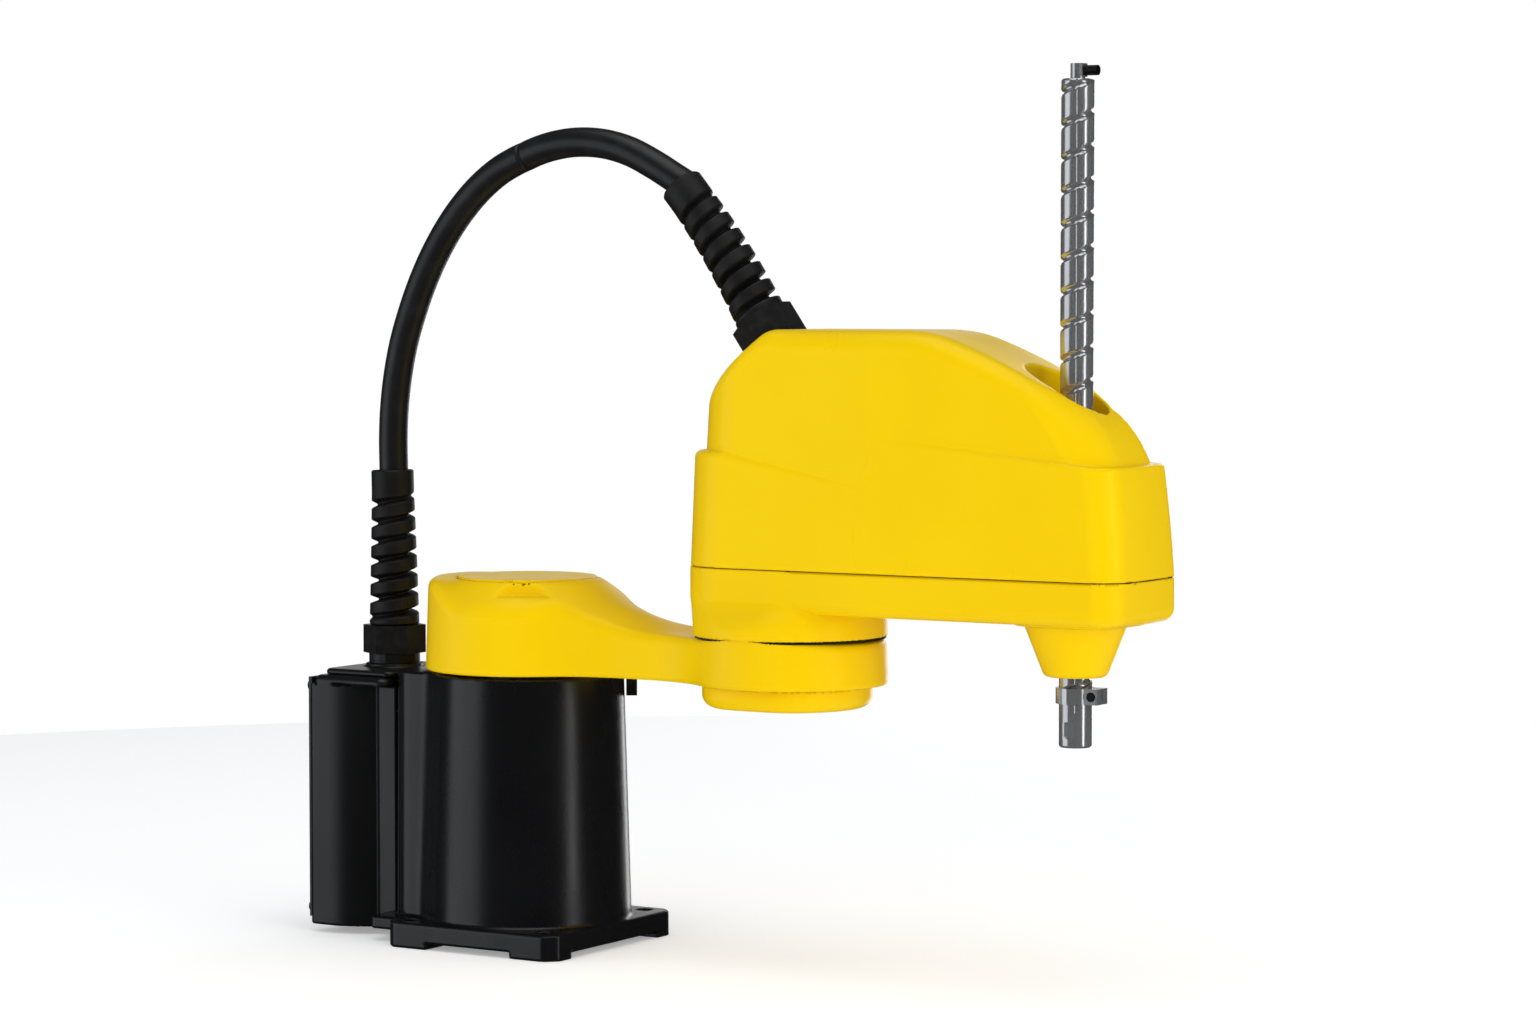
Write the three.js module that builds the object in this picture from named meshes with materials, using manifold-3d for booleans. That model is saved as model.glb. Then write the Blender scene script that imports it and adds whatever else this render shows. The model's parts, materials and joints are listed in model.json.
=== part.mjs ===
// Tabletop SCARA robot arm with a 400 mm reach: base, two links and a vertical ball-screw spline spindle.
// Millimetres, +Z up. The origin is where the first joint's axis meets the mounting surface,
// and both links point along +X.
import * as THREE from 'three';
import { mergeVertices } from 'three/addons/utils/BufferGeometryUtils.js';
import Module from 'manifold-3d';

const wasm = await Module();
wasm.setup();

// ---- driving dimensions ----
const LINK_1 = 200;              // joint 1 axis to joint 2 axis
const LINK_2 = 200;              // joint 2 axis to spindle axis
const GAP = 0.3;                 // clearance between touching pieces

const BASE_TOP = 176;
const BASE_R_LOW = 68.5;
const BASE_R_TOP = 63.5;
const PLATE = { back: -65.3, front: 68.2, half: 71.4, low: 4, top: 16.5, chamfer: 7.7 };
const BOLT_HOLE_R = 4.5;
const BOLT_X = 52;
const BOLT_Y = 58;
const HOUSING = { back: -142.2, front: -82.3, half: 46, low: 5, shoulder: 165, top: 170.5, wall: 3 };
const GLAND_X = -107.5;          // base cable gland

const ARM_1_LOW = 178;
const ARM_1_TOP = 238;
const ARM_1_R = 64.5;
const JOINT_2_R = 60.5;
const JOINT_2_SPLIT = 207.5;     // where link 2 turns on link 1
const LINK_TOP = 206.7;

const ARM_2_LOW = 225;
const PARTING = 251;
const COVER_TOP = 399.5;
const COVER_HALF = 46.5;
const UPPER_HALF = 42.5;
const SHOULDER = 319;
const COVER_WALL = 3;
const ARM_GLAND = { x: -6.8, z: 385.5, tilt: 35.4 };   // tilt from vertical, towards the base

const SHAFT_R = 10;
const SHAFT_LOW = 149.5;
const SHAFT_TOP = 549.5;
const CABLE_R = 9.5;

// Facets round a full circle, by size of feature.
const LARGE = 36;
const MEDIUM = 24;
const SMALL = 12;

// ---- materials ----
function paint(colour, roughness, metalness) {
  return new THREE.MeshStandardMaterial({ color: colour, roughness, metalness });
}
const YELLOW = paint(0xf5d400, 0.4, 0);
const BLACK_CASTING = paint(0x16171b, 0.5, 0.1);
const BLACK_SHEET = paint(0x1a1b1f, 0.45, 0.1);
const BLACK_PLASTIC = paint(0x101012, 0.55, 0);
const RUBBER = paint(0x0c0c0d, 0.8, 0);
const STEEL = paint(0xc4c6ca, 0.22, 1);
const DARK_STEEL = paint(0x222326, 0.35, 1);
const ALUMINIUM = paint(0xb2b5ba, 0.35, 1);
const CABLE_JACKET = paint(0x1c1d20, 0.6, 0);

// ---- solids ----
function signedVolume(position, index) {
  let sum = 0;
  const [a, b, c] = [new THREE.Vector3(), new THREE.Vector3(), new THREE.Vector3()];
  for (let i = 0; i < index.count; i += 3) {
    a.fromBufferAttribute(position, index.getX(i));
    b.fromBufferAttribute(position, index.getX(i + 1));
    c.fromBufferAttribute(position, index.getX(i + 2));
    sum += a.dot(b.cross(c));
  }
  return sum;
}

function solid(geometry) {
  geometry.deleteAttribute('normal');
  geometry.deleteAttribute('uv');
  const merged = mergeVertices(geometry, 1e-4);
  const inside = signedVolume(merged.attributes.position, merged.index) < 0;
  const corners = Uint32Array.from(merged.index.array);
  for (let i = 0; inside && i < corners.length; i += 3) {
    [corners[i], corners[i + 1]] = [corners[i + 1], corners[i]];
  }
  return new wasm.Manifold(new wasm.Mesh({
    numProp: 3,
    vertProperties: Float32Array.from(merged.attributes.position.array),
    triVerts: corners,
  }));
}

function union(...solids) {
  return solids.reduce((all, next) => all.add(next));
}

function cut(body, ...tools) {
  return tools.reduce((all, next) => all.subtract(next), body);
}

function turned(profile, segments = LARGE, x = 0, y = 0) {
  const points = profile.map(([r, z]) => new THREE.Vector2(r, z));
  const closes = profile[0][0] === 0 && profile[profile.length - 1][0] === 0;
  if (!closes) points.push(points[0].clone());
  const geometry = new THREE.LatheGeometry(points, segments);
  geometry.rotateX(Math.PI / 2);
  geometry.translate(x, y, 0);
  return solid(geometry);
}

function disc(radius, low, high, segments = MEDIUM, x = 0, y = 0) {
  return turned([[0, low], [radius, low], [radius, high], [0, high]], segments, x, y);
}

function ring(inner, outer, low, high, segments = MEDIUM, x = 0, y = 0) {
  return turned([[inner, low], [outer, low], [outer, high], [inner, high]], segments, x, y);
}

// A rod along X from x0 to x1.
function rodX(radius, x0, x1, y, z, segments = MEDIUM) {
  const geometry = new THREE.CylinderGeometry(radius, radius, x1 - x0, segments);
  geometry.rotateZ(Math.PI / 2);
  geometry.translate((x0 + x1) / 2, y, z);
  return solid(geometry);
}

// A rod along Y from y0 to y1.
function rodY(radius, y0, y1, x, z, segments = SMALL) {
  const geometry = new THREE.CylinderGeometry(radius, radius, y1 - y0, segments);
  geometry.translate(x, (y0 + y1) / 2, z);
  return solid(geometry);
}

function block(x0, x1, y0, y1, z0, z1) {
  const geometry = new THREE.BoxGeometry(x1 - x0, y1 - y0, z1 - z0);
  geometry.translate((x0 + x1) / 2, (y0 + y1) / 2, (z0 + z1) / 2);
  return solid(geometry);
}

// A plan outline in X and Y, raised from low to high.
function plan(shape, low, high, curveSegments = 6) {
  const geometry = new THREE.ExtrudeGeometry(shape, {
    depth: high - low, bevelEnabled: false, curveSegments,
  });
  geometry.translate(0, 0, low);
  return solid(geometry);
}

// A side outline in X and Z, carried across from -half to +half in Y.
function side(points, half) {
  const shape = new THREE.Shape(points.map(([x, z]) => new THREE.Vector2(x, z)));
  const geometry = new THREE.ExtrudeGeometry(shape, { depth: 2 * half, bevelEnabled: false });
  geometry.rotateX(Math.PI / 2);
  geometry.translate(0, half, 0);
  return solid(geometry);
}

function roundedRectangle(x0, x1, y0, y1, r) {
  const shape = new THREE.Shape();
  shape.moveTo(x0 + r, y0);
  shape.lineTo(x1 - r, y0);
  shape.absarc(x1 - r, y0 + r, r, -Math.PI / 2, 0);
  shape.lineTo(x1, y1 - r);
  shape.absarc(x1 - r, y1 - r, r, 0, Math.PI / 2);
  shape.lineTo(x0 + r, y1);
  shape.absarc(x0 + r, y1 - r, r, Math.PI / 2, Math.PI);
  shape.lineTo(x0, y0 + r);
  shape.absarc(x0 + r, y0 + r, r, Math.PI, 1.5 * Math.PI);
  return shape;
}

function hexagon(acrossFlats, low, high) {
  const radius = acrossFlats / Math.sqrt(3);
  const geometry = new THREE.CylinderGeometry(radius, radius, high - low, 6);
  geometry.rotateX(Math.PI / 2);
  geometry.translate(0, 0, (low + high) / 2);
  return solid(geometry);
}

// ---- scene graph ----
const robot = new THREE.Group();

function group(x, parent = robot) {
  const made = new THREE.Group();
  made.position.x = x;
  parent.add(made);
  return made;
}

function add(parent, name, body, material) {
  const { vertProperties, triVerts } = body.getMesh();
  const geometry = new THREE.BufferGeometry();
  geometry.setAttribute('position', new THREE.BufferAttribute(Float32Array.from(vertProperties), 3));
  geometry.setIndex(new THREE.BufferAttribute(Uint32Array.from(triVerts), 1));
  geometry.computeVertexNormals();
  const mesh = new THREE.Mesh(geometry, material);
  mesh.name = name;
  parent.add(mesh);
  return mesh;
}

const base = group(0);
const arm1 = group(0);
const arm2 = group(LINK_1);
const spindle = group(LINK_2, arm2);

// ---- base ----
function basePlateOutline() {
  const { back, front, half, chamfer: c } = PLATE;
  return new THREE.Shape([
    [back + c, -half], [front - c, -half], [front, c - half], [front, half - c],
    [front - c, half], [back + c, half], [back, half - c], [back, c - half],
  ].map(([x, y]) => new THREE.Vector2(x, y)));
}

const PAD_LONG = 34;
const PAD_SHORT = 22;
function footPads() {
  const { back, front, half, low } = PLATE;
  const outline = plan(basePlateOutline(), 0, low + 1);
  const across = [[back, back + PAD_LONG], [front - PAD_LONG, front]];
  const along = [[-half, PAD_SHORT - half], [half - PAD_SHORT, half]];
  const pads = across.flatMap(([x0, x1]) => (
    along.map(([y0, y1]) => block(x0, x1, y0, y1, 0, low + 1))));
  return union(...pads).intersect(outline);
}

const REDUCER_R = 45;
const MOTOR_SHELF = 146;
const NECK_HALF = 46;
const THROAT_HALF = 34;          // where the rear housing meets the neck
const PASSAGE = { half: 30, low: 30, high: 150 };
const EAR = { back: -88, half: 56.5, low: 8 };

// Two ears of the base plate, either side of the rear housing's throat.
function plateEars() {
  const tongue = plan(roundedRectangle(EAR.back, -40, -EAR.half, EAR.half, 5), EAR.low, PLATE.top);
  const throat = THROAT_HALF + GAP;
  return cut(tongue, block(EAR.back - 1, HOUSING.front + GAP, -throat, throat, 0, PLATE.top + 1));
}

function baseCasting() {
  const drum = turned([
    [0, PLATE.low], [BASE_R_LOW, PLATE.low], [BASE_R_TOP, BASE_TOP], [0, BASE_TOP],
  ], LARGE);
  const neckOutline = roundedRectangle(HOUSING.front + GAP, -30, -NECK_HALF, NECK_HALF, 10);
  const neck = plan(neckOutline, PLATE.top - 4, BASE_TOP, 8);
  const outside = union(drum, neck, plateEars(), plan(basePlateOutline(), PLATE.low, PLATE.top), footPads());
  const cavity = turned([[0, 24], [56, 24], [54, MOTOR_SHELF], [0, MOTOR_SHELF]], MEDIUM);
  const cablePassage = block(HOUSING.front - 1, -45, -PASSAGE.half, PASSAGE.half, PASSAGE.low, PASSAGE.high);
  const bottomOpening = disc(40, -1, 30, MEDIUM);
  const shelfBore = disc(36, MOTOR_SHELF - 1, 152, MEDIUM);
  const reducerPocket = disc(REDUCER_R + GAP, 150, BASE_TOP + 1, LARGE);
  const bolts = [-1, 1].flatMap((i) => [-1, 1].map((j) => (
    disc(BOLT_HOLE_R, -1, PLATE.top + 1, SMALL, i * BOLT_X, j * BOLT_Y))));
  return cut(outside, cavity, cablePassage, bottomOpening, shelfBore, reducerPocket, ...bolts);
}
add(base, 'base_casting', baseCasting(), BLACK_CASTING);
add(base, 'base_bottom_cover', disc(47, 0, PLATE.low - GAP, MEDIUM), BLACK_SHEET);

// D-shaped in plan: square behind and half round in front.
function housingOutline(inset = 0) {
  const radius = HOUSING.half - inset;
  const centre = HOUSING.front - HOUSING.half;
  const shape = new THREE.Shape();
  shape.moveTo(HOUSING.back + inset, -radius);
  shape.lineTo(centre, -radius);
  shape.absarc(centre, 0, radius, -Math.PI / 2, Math.PI / 2);
  shape.lineTo(HOUSING.back + inset, radius);
  shape.closePath();
  return shape;
}

function rearHousing() {
  const { back, front, half, low, shoulder, top, wall } = HOUSING;
  const throat = block(back + half, front, -THROAT_HALF, THROAT_HALF, low, shoulder);
  const rim = plan(roundedRectangle(back, front, -half, half, 7), shoulder, top);
  const outside = union(plan(housingOutline(), low, shoulder, 14), throat, rim);
  const hollow = plan(housingOutline(wall), low + wall, shoulder, 14);
  const passage = block(back + half, front + 1, -PASSAGE.half, PASSAGE.half, PASSAGE.low, PASSAGE.high);
  const topOpening = plan(roundedRectangle(back + 12, front - 7, -30, 30, 6), shoulder - 1, top + 1, 2);
  const panelOpening = block(back - 1, back + wall + 1, -34, 34, 25, 155);
  return cut(outside, hollow, passage, topOpening, panelOpening);
}
add(base, 'rear_housing', rearHousing(), BLACK_SHEET);

const PANEL_FRONT = HOUSING.back - GAP;
const PANEL_BACK = PANEL_FRONT - 2.5;
const panel = block(PANEL_BACK, PANEL_FRONT, -44.5, 44.5, 10, 169);
add(base, 'rear_panel', panel, BLACK_SHEET);

const LID_LOW = HOUSING.top + GAP;
const LID_TOP = 174.5;
const LID_HALF = 39;
const GLAND_SEAT = 177;           // below the sweep of arm 1
function rearLid() {
  const outline = roundedRectangle(HOUSING.back + 5, HOUSING.front, -LID_HALF, LID_HALF, 6);
  const boss = disc(19, LID_LOW, GLAND_SEAT, MEDIUM, GLAND_X);
  return cut(union(plan(outline, LID_LOW, LID_TOP, 4), boss), disc(10.5, 168, 182, MEDIUM, GLAND_X));
}
add(base, 'rear_lid', rearLid(), BLACK_SHEET);

// Pan-head screws on the rear panel's corners.
const SCREW_FRONT = PANEL_BACK - GAP;
for (const [i, y] of [-39, 39].entries()) {
  for (const [j, z] of [16, 163].entries()) {
    const head = rodX(3.6, SCREW_FRONT - 2.2, SCREW_FRONT, y, z, SMALL);
    add(base, `panel_screw_${2 * i + j + 1}`, head, DARK_STEEL);
  }
}

function roundConnector(radius, y, z) {
  const half = radius + 1;
  const flange = block(SCREW_FRONT - 2.5, SCREW_FRONT, y - half, y + half, z - half, z + half);
  return union(flange, rodX(radius, SCREW_FRONT - 12, SCREW_FRONT, y, z));
}
add(base, 'power_connector', roundConnector(13, 16, 132), BLACK_PLASTIC);
add(base, 'encoder_connector', roundConnector(10, 18, 98), BLACK_PLASTIC);
const userPlug = block(SCREW_FRONT - 9, SCREW_FRONT, -14, -2, 96, 140);
add(base, 'user_signal_connector', userPlug, BLACK_PLASTIC);

// Three push-in air fittings on one manifold.
function airFittings() {
  const manifold = block(SCREW_FRONT - 3, SCREW_FRONT, -14, 30, 54, 70);
  const fittings = [-6, 8, 22].map((y) => union(
    rodX(6.5, SCREW_FRONT - 7, SCREW_FRONT - 2, y, 62, 6),
    rodX(5, SCREW_FRONT - 15, SCREW_FRONT - 6, y, 62, SMALL),
  ));
  return union(manifold, ...fittings);
}
add(base, 'air_fittings', airFittings(), BLACK_PLASTIC);
add(base, 'earth_screw', rodX(4.5, SCREW_FRONT - 3, SCREW_FRONT, 0, 32, SMALL), STEEL);
add(base, 'battery_box', block(-136, -108, -34, -8, 40, 84), BLACK_PLASTIC);

const STOP_ANGLE = 34;
function stopBlock() {
  const geometry = new THREE.BoxGeometry(7, 9, 13.2);
  geometry.translate(BASE_R_TOP + GAP + 3.7, 0, 166.8);
  geometry.rotateZ(THREE.MathUtils.degToRad(STOP_ANGLE));
  return solid(geometry);
}
add(base, 'joint_1_stop_block', stopBlock(), BLACK_CASTING);

// A strain wave reducer: circular spline, output bearing, cup and wave generator.
const CUP_R = 29.7;
const HUB_BORE_R = 36;
const HUB_R = 35.2;              // the turning hub clears the facets of its bore all round
function circularSpline(low, high) {
  return ring(CUP_R + GAP, REDUCER_R, low, high, MEDIUM);
}
// The cup's closed end is at floor and its open rim at rim, above or below it.
function outputCup(rim, floor) {
  const inner = floor + 3 * Math.sign(rim - floor);
  return turned([
    [0, inner], [CUP_R - 2, inner], [CUP_R - 2, rim], [CUP_R, rim], [CUP_R, floor], [0, floor],
  ], MEDIUM);
}
add(base, 'joint_1_circular_spline', circularSpline(150.3, 164), STEEL);
add(base, 'joint_1_bearing', ring(HUB_BORE_R, REDUCER_R, 164.3, 175.7, MEDIUM), STEEL);

// A square servo motor frame, bored for its rotor from low + start to high + end.
const MOTOR_SHAFT_R = 5;
function motorFrame(half, low, high, x, start, end) {
  const frame = plan(roundedRectangle(x - half, x + half, -half, half, half / 5), low, high, 2);
  return cut(frame, disc(MOTOR_SHAFT_R + 1, low + start, high + end, SMALL, x));
}

// A motor's rotor with the wave generator of its reducer on the end.
function driveRotor(low, high, discLow) {
  return union(disc(MOTOR_SHAFT_R, low, high, SMALL), disc(24, discLow, discLow + 8, MEDIUM));
}
const encoder1 = disc(26, 44, 63, MEDIUM);
const motor1 = union(motorFrame(30, 62, MOTOR_SHELF - GAP, 0, 4, 1), encoder1);
add(base, 'joint_1_motor', motor1, BLACK_CASTING);
add(base, 'joint_1_rotor', driveRotor(68, 158, 152.5), STEEL);

// ---- cable glands and strain reliefs, each built upright on its own axis ----
const NUT_FLATS = 36;
const NUT_HEIGHT = 18.5;
const RELIEF = { spiral: 88, collar: 14.3, lowR: 16.5, topR: 14, turns: 7, groove: 3.6 };
const BORE = CABLE_R + GAP;

function glandNut(low) {
  const high = low + NUT_HEIGHT;
  return cut(hexagon(NUT_FLATS, low, high), disc(BORE, low - 1, high + 1, MEDIUM));
}

function strainRelief(low) {
  const { spiral, collar, lowR, topR, turns, groove } = RELIEF;
  const pitch = spiral / turns;
  const top = low + spiral + collar;
  const outline = [[BORE, top], [BORE, low]];
  for (let i = 0; i < turns; i += 1) {
    const radius = THREE.MathUtils.lerp(lowR, topR, i / (turns - 1));
    const z = low + i * pitch;
    outline.push([radius, z], [radius, z + 0.6 * pitch]);
    outline.push([radius - groove, z + 0.72 * pitch], [radius - groove, z + 0.88 * pitch]);
  }
  outline.push([topR, low + spiral], [topR, top]);
  return turned(outline, 16);
}

// The body is threaded through the wall below it; the nut and the relief stack on it.
function addGland(parent, name, body, bodyTop) {
  const nutLow = bodyTop + GAP;
  const thread = ring(BORE, 10.1, -12, 1, MEDIUM);
  add(parent, `${name}_gland_body`, cut(union(body, thread), disc(BORE, -13, 20, MEDIUM)), BLACK_PLASTIC);
  add(parent, `${name}_gland_nut`, glandNut(nutLow), BLACK_PLASTIC);
  add(parent, `${name}_strain_relief`, strainRelief(nutLow + NUT_HEIGHT + GAP), RUBBER);
}
const baseGland = group(GLAND_X, base);
baseGland.position.z = GLAND_SEAT + GAP;
addGland(baseGland, 'base', disc(17, 0, 6, MEDIUM), 6);

// ---- arm 1 ----
const WAIST = { x: 115, half: 31 };
function arm1Outline(inset = 0) {
  const [r1, r2] = [ARM_1_R - inset, JOINT_2_R - inset];
  const [leave, arrive] = [THREE.MathUtils.degToRad(48), THREE.MathUtils.degToRad(128)];
  const half = WAIST.half - inset;
  const start = [r1 * Math.cos(leave), r1 * Math.sin(leave)];
  const end = [LINK_1 + r2 * Math.cos(arrive), r2 * Math.sin(arrive)];
  const shape = new THREE.Shape();
  shape.absarc(0, 0, r1, leave, 2 * Math.PI - leave);
  shape.bezierCurveTo(start[0] + 22, 20 - start[1], WAIST.x - 32, -half, WAIST.x, -half);
  shape.bezierCurveTo(WAIST.x + 25, -half, end[0] - 16, 12 - end[1], end[0], -end[1]);
  shape.absarc(LINK_1, 0, r2, -arrive, arrive);
  shape.bezierCurveTo(end[0] - 16, end[1] - 12, WAIST.x + 25, half, WAIST.x, half);
  shape.bezierCurveTo(WAIST.x - 32, half, start[0] + 22, start[1] - 20, start[0], start[1]);
  return shape;
}

const ARM_1_RAMP = [
  [-70, 176], [270, 176], [270, LINK_TOP], [150, LINK_TOP], [139, 207.3], [128, 209], [108, 213],
  [85, 220], [66, 226.5], [54, 234], [46, ARM_1_TOP], [-70, ARM_1_TOP],
];
const CAP_R = 45;
function arm1Casting() {
  const link = plan(arm1Outline(), ARM_1_LOW, ARM_1_TOP, 8).intersect(side(ARM_1_RAMP, 70));
  const dome = turned([
    [0, 170], [ARM_1_R + 1, 170], [ARM_1_R + 1, 222], [CAP_R + 2, ARM_1_TOP], [0, ARM_1_TOP],
  ], LARGE);
  const tail = block(20, 270, -70, 70, 170, ARM_1_TOP);
  const shaped = link.intersect(union(dome, tail));
  const capSeat = disc(CAP_R + GAP, 235.5, 240, LARGE);
  const well = disc(40, 196, 237, MEDIUM);
  const hubBolts = disc(8, 170, 200, MEDIUM);
  const rib = plan(arm1Outline(9), 170, 198, 4).intersect(block(74, 132, -60, 60, 170, 198));
  const coverPocket = disc(46, 170, 192, MEDIUM, LINK_1);
  const wirePassage = disc(8, 188, 215, 20, LINK_1);
  return cut(shaped, capSeat, well, hubBolts, rib, coverPocket, wirePassage);
}
add(arm1, 'arm_1_casting', arm1Casting(), YELLOW);
add(arm1, 'arm_1_cap', disc(CAP_R, 235.8, ARM_1_TOP + 0.4, LARGE), YELLOW);
add(arm1, 'joint_1_output_hub', ring(7, HUB_R, 164.3, ARM_1_LOW - GAP, MEDIUM), STEEL);
add(arm1, 'joint_1_flex_cup', outputCup(151.5, 164), STEEL);
const joint2 = group(LINK_1, arm1);
add(joint2, 'joint_2_output_hub', disc(HUB_R, LINK_TOP + GAP, 212.8, MEDIUM), STEEL);
add(joint2, 'joint_2_flex_cup', outputCup(226, 213.1), STEEL);

function lowerCover() {
  const outside = [[0, 162], [44, 162], [50, 164.5], [53, 170], [53, 177.7], [0, 177.7]];
  const inside = [[0, 165], [42, 165], [49, 170], [49, 179], [0, 179]];
  return cut(turned(outside, LARGE, LINK_1), turned(inside, MEDIUM, LINK_1));
}
add(arm1, 'arm_1_lower_cover', lowerCover(), YELLOW);

// ---- arm 2: casting, cover and the joint 2 drive ----
const JOINT_2_LOW = JOINT_2_SPLIT + GAP;
const FRONT_BOW = 251;
function arm2Outline(half, rear, front) {
  const corner = 32;
  const shape = new THREE.Shape();
  shape.moveTo(corner - rear, -half);
  shape.lineTo(front - 27, -half);
  shape.quadraticCurveTo(front - 6, -half + 1, front - 4, 16 - half);
  shape.quadraticCurveTo(front + 2, 0, front - 4, half - 16);
  shape.quadraticCurveTo(front - 6, half - 1, front - 27, half);
  shape.lineTo(corner - rear, half);
  shape.quadraticCurveTo(6 - rear, half - 3, 2 - rear, half - 26);
  shape.quadraticCurveTo(-1 - rear, 0, 2 - rear, 26 - half);
  shape.quadraticCurveTo(6 - rear, 3 - half, corner - rear, -half);
  return shape;
}

const SPLINE_BORE_R = 16.5;
const BEARING_BORE_R = 22.3;
function arm2Casting() {
  const slab = plan(arm2Outline(COVER_HALF, 61.5, FRONT_BOW), ARM_2_LOW, PARTING - 0.2, 6);
  const hub = turned([
    [0, JOINT_2_LOW], [JOINT_2_R, JOINT_2_LOW], [JOINT_2_R, ARM_2_LOW + 1], [54, 234], [0, 234],
  ], LARGE);
  const noseProfile = [[0, 192], [19.5, 192], [21, 194], [33.5, 222], [40, 226], [0, 226]];
  const nose = turned(noseProfile, LARGE, LINK_2);
  const outside = union(slab, hub, nose);
  const tray = plan(arm2Outline(COVER_HALF - 5, 56.5, FRONT_BOW - 5), 232, 260, 6);
  const keep = union(disc(54, 225, 246, LARGE), disc(30, 225, 246, MEDIUM, LINK_2));
  const reducerPocket = disc(REDUCER_R + GAP, 213, 260, LARGE);
  const reducerBore = disc(HUB_BORE_R, 200, 220, MEDIUM);
  const bearingBore = disc(BEARING_BORE_R, 226, 260, MEDIUM, LINK_2);
  const splineBore = disc(SPLINE_BORE_R, 190, 230, MEDIUM, LINK_2);
  return cut(outside, cut(tray, keep), reducerPocket, reducerBore, bearingBore, splineBore);
}
add(arm2, 'arm_2_casting', arm2Casting(), YELLOW);

const GASKET_LOW = PARTING + 0.1;
function gasket() {
  const edge = arm2Outline(COVER_HALF - 1.3, 60.2, FRONT_BOW - 1.3);
  const outside = plan(edge, GASKET_LOW, GASKET_LOW + 0.6, 6);
  return cut(outside, plan(arm2Outline(COVER_HALF - 5, 56.5, FRONT_BOW - 5), 250, 253, 6));
}
add(arm2, 'cover_gasket', gasket(), RUBBER);

// The cover is a lower band with a narrower hood on it; each takes the same wall.
const COVER_LOW = GASKET_LOW + 0.9;
function bandOutline(wall) {
  const low = wall ? COVER_LOW - 1 : COVER_LOW;
  return plan(arm2Outline(COVER_HALF - wall, 61 - wall, FRONT_BOW - wall), low, SHOULDER - wall, 6);
}
function hoodOutline(wall) {
  const w = wall;
  const low = w ? COVER_LOW - 1 : COVER_LOW;
  const v = 1.2 * w;
  const profile = [
    [w - 48, low], [241 - w, low], [237 - w, SHOULDER - w], [232 - w, 324 - w], [221 - w, 336 - w],
    [207 - w, 348.5 - w], [194 - w / 2, 359.5 - v], [170 - w / 2, 375.5 - v], [156, 383 - v],
    [143, 389.5 - v], [128, 395 - v], [113, 398.3 - w], [97, COVER_TOP - w], [36, COVER_TOP - w],
    [24, 398 - w], [4, 390.5 - v], [-16, 379.5 - v], [w - 33, 366.5 - w], [w - 42, 356 - w],
    [w - 46.5, 345 - w],
  ];
  const round = 13;
  const half = UPPER_HALF - w;
  const section = new THREE.Shape();
  section.moveTo(-half, low);
  section.lineTo(half, low);
  section.lineTo(half - 0.8, COVER_TOP - w - round);
  section.quadraticCurveTo(half - 1.5, COVER_TOP - w, half - round - 1, COVER_TOP - w);
  section.lineTo(round + 1 - half, COVER_TOP - w);
  section.quadraticCurveTo(1.5 - half, COVER_TOP - w, 0.8 - half, COVER_TOP - w - round);
  const across = new THREE.ExtrudeGeometry(section, {
    depth: 320, bevelEnabled: false, curveSegments: 5,
  });
  across.rotateX(Math.PI / 2);
  across.rotateZ(Math.PI / 2);
  across.translate(-70, 0, 0);
  const footprint = plan(arm2Outline(half, 49 - w, 243 - w), low, 420, 6);
  return side(profile, 60).intersect(solid(across)).intersect(footprint);
}

// The pocket that the spindle rises through, sunk into the cover's front slope.
const POCKET = { back: 168, front: 218.6, half: 20.5, floor: 341, wall: 2.5 };
function pocketShape(grow) {
  const { back, front, half, floor } = POCKET;
  const [x0, x1, y] = [back - grow, front + grow, half + grow];
  return plan(roundedRectangle(x0, x1, -y, y, y - 0.5), floor - grow, 420, 6);
}
function arm2Cover() {
  const outside = union(bandOutline(0), hoodOutline(0));
  const inside = union(bandOutline(COVER_WALL), hoodOutline(COVER_WALL));
  const shell = union(cut(outside, inside), outside.intersect(pocketShape(POCKET.wall)));
  const shaftHole = disc(12.5, 300, 420, MEDIUM, LINK_2);
  return cut(shell, pocketShape(0), shaftHole, tilted(10.6, -30, 30), tilted(21.5, 0, 30));
}

// A cylinder on the arm gland's leaning axis: its thread hole, and the flat seat under it.
function tilted(radius, low, high) {
  const geometry = new THREE.CylinderGeometry(radius, radius, high - low, MEDIUM);
  geometry.rotateX(Math.PI / 2);
  geometry.translate(0, 0, (low + high) / 2);
  geometry.rotateY(THREE.MathUtils.degToRad(-ARM_GLAND.tilt));
  geometry.translate(ARM_GLAND.x, 0, ARM_GLAND.z);
  return solid(geometry);
}
add(arm2, 'arm_2_cover', arm2Cover(), YELLOW);

const armGland = new THREE.Group();
armGland.position.set(ARM_GLAND.x, 0, ARM_GLAND.z);
armGland.rotation.y = THREE.MathUtils.degToRad(-ARM_GLAND.tilt);
arm2.add(armGland);
const glandSeat = new THREE.Group();
glandSeat.position.z = GAP;
armGland.add(glandSeat);
addGland(glandSeat, 'arm', hexagon(NUT_FLATS, 0, 6.3), 6.3);

add(arm2, 'joint_2_circular_spline', circularSpline(213.3, 228), STEEL);

// Arm 2's motors hang shaft down.
const encoder2 = disc(26, 329, 348, MEDIUM);
const motor2 = union(motorFrame(30, 251.5, 330, 0, -1, -4), encoder2);
add(arm2, 'joint_2_motor', motor2, BLACK_CASTING);
add(arm2, 'joint_2_rotor', driveRotor(220, 322, 216.5), STEEL);

// ---- spindle drives: a motor, a belt and a pulley nut each for lift and for roll ----
const LIFT = { x: 142, low: 288, high: 300, plate: 318 };
const ROLL = { x: 95, low: 260, high: 272, plate: 276 };
const MOTOR_PULLEY_R = 12;
const NUT_PULLEY_R = 20;
const BELT = 1.6;
const PLATE_THICK = 5;

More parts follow.
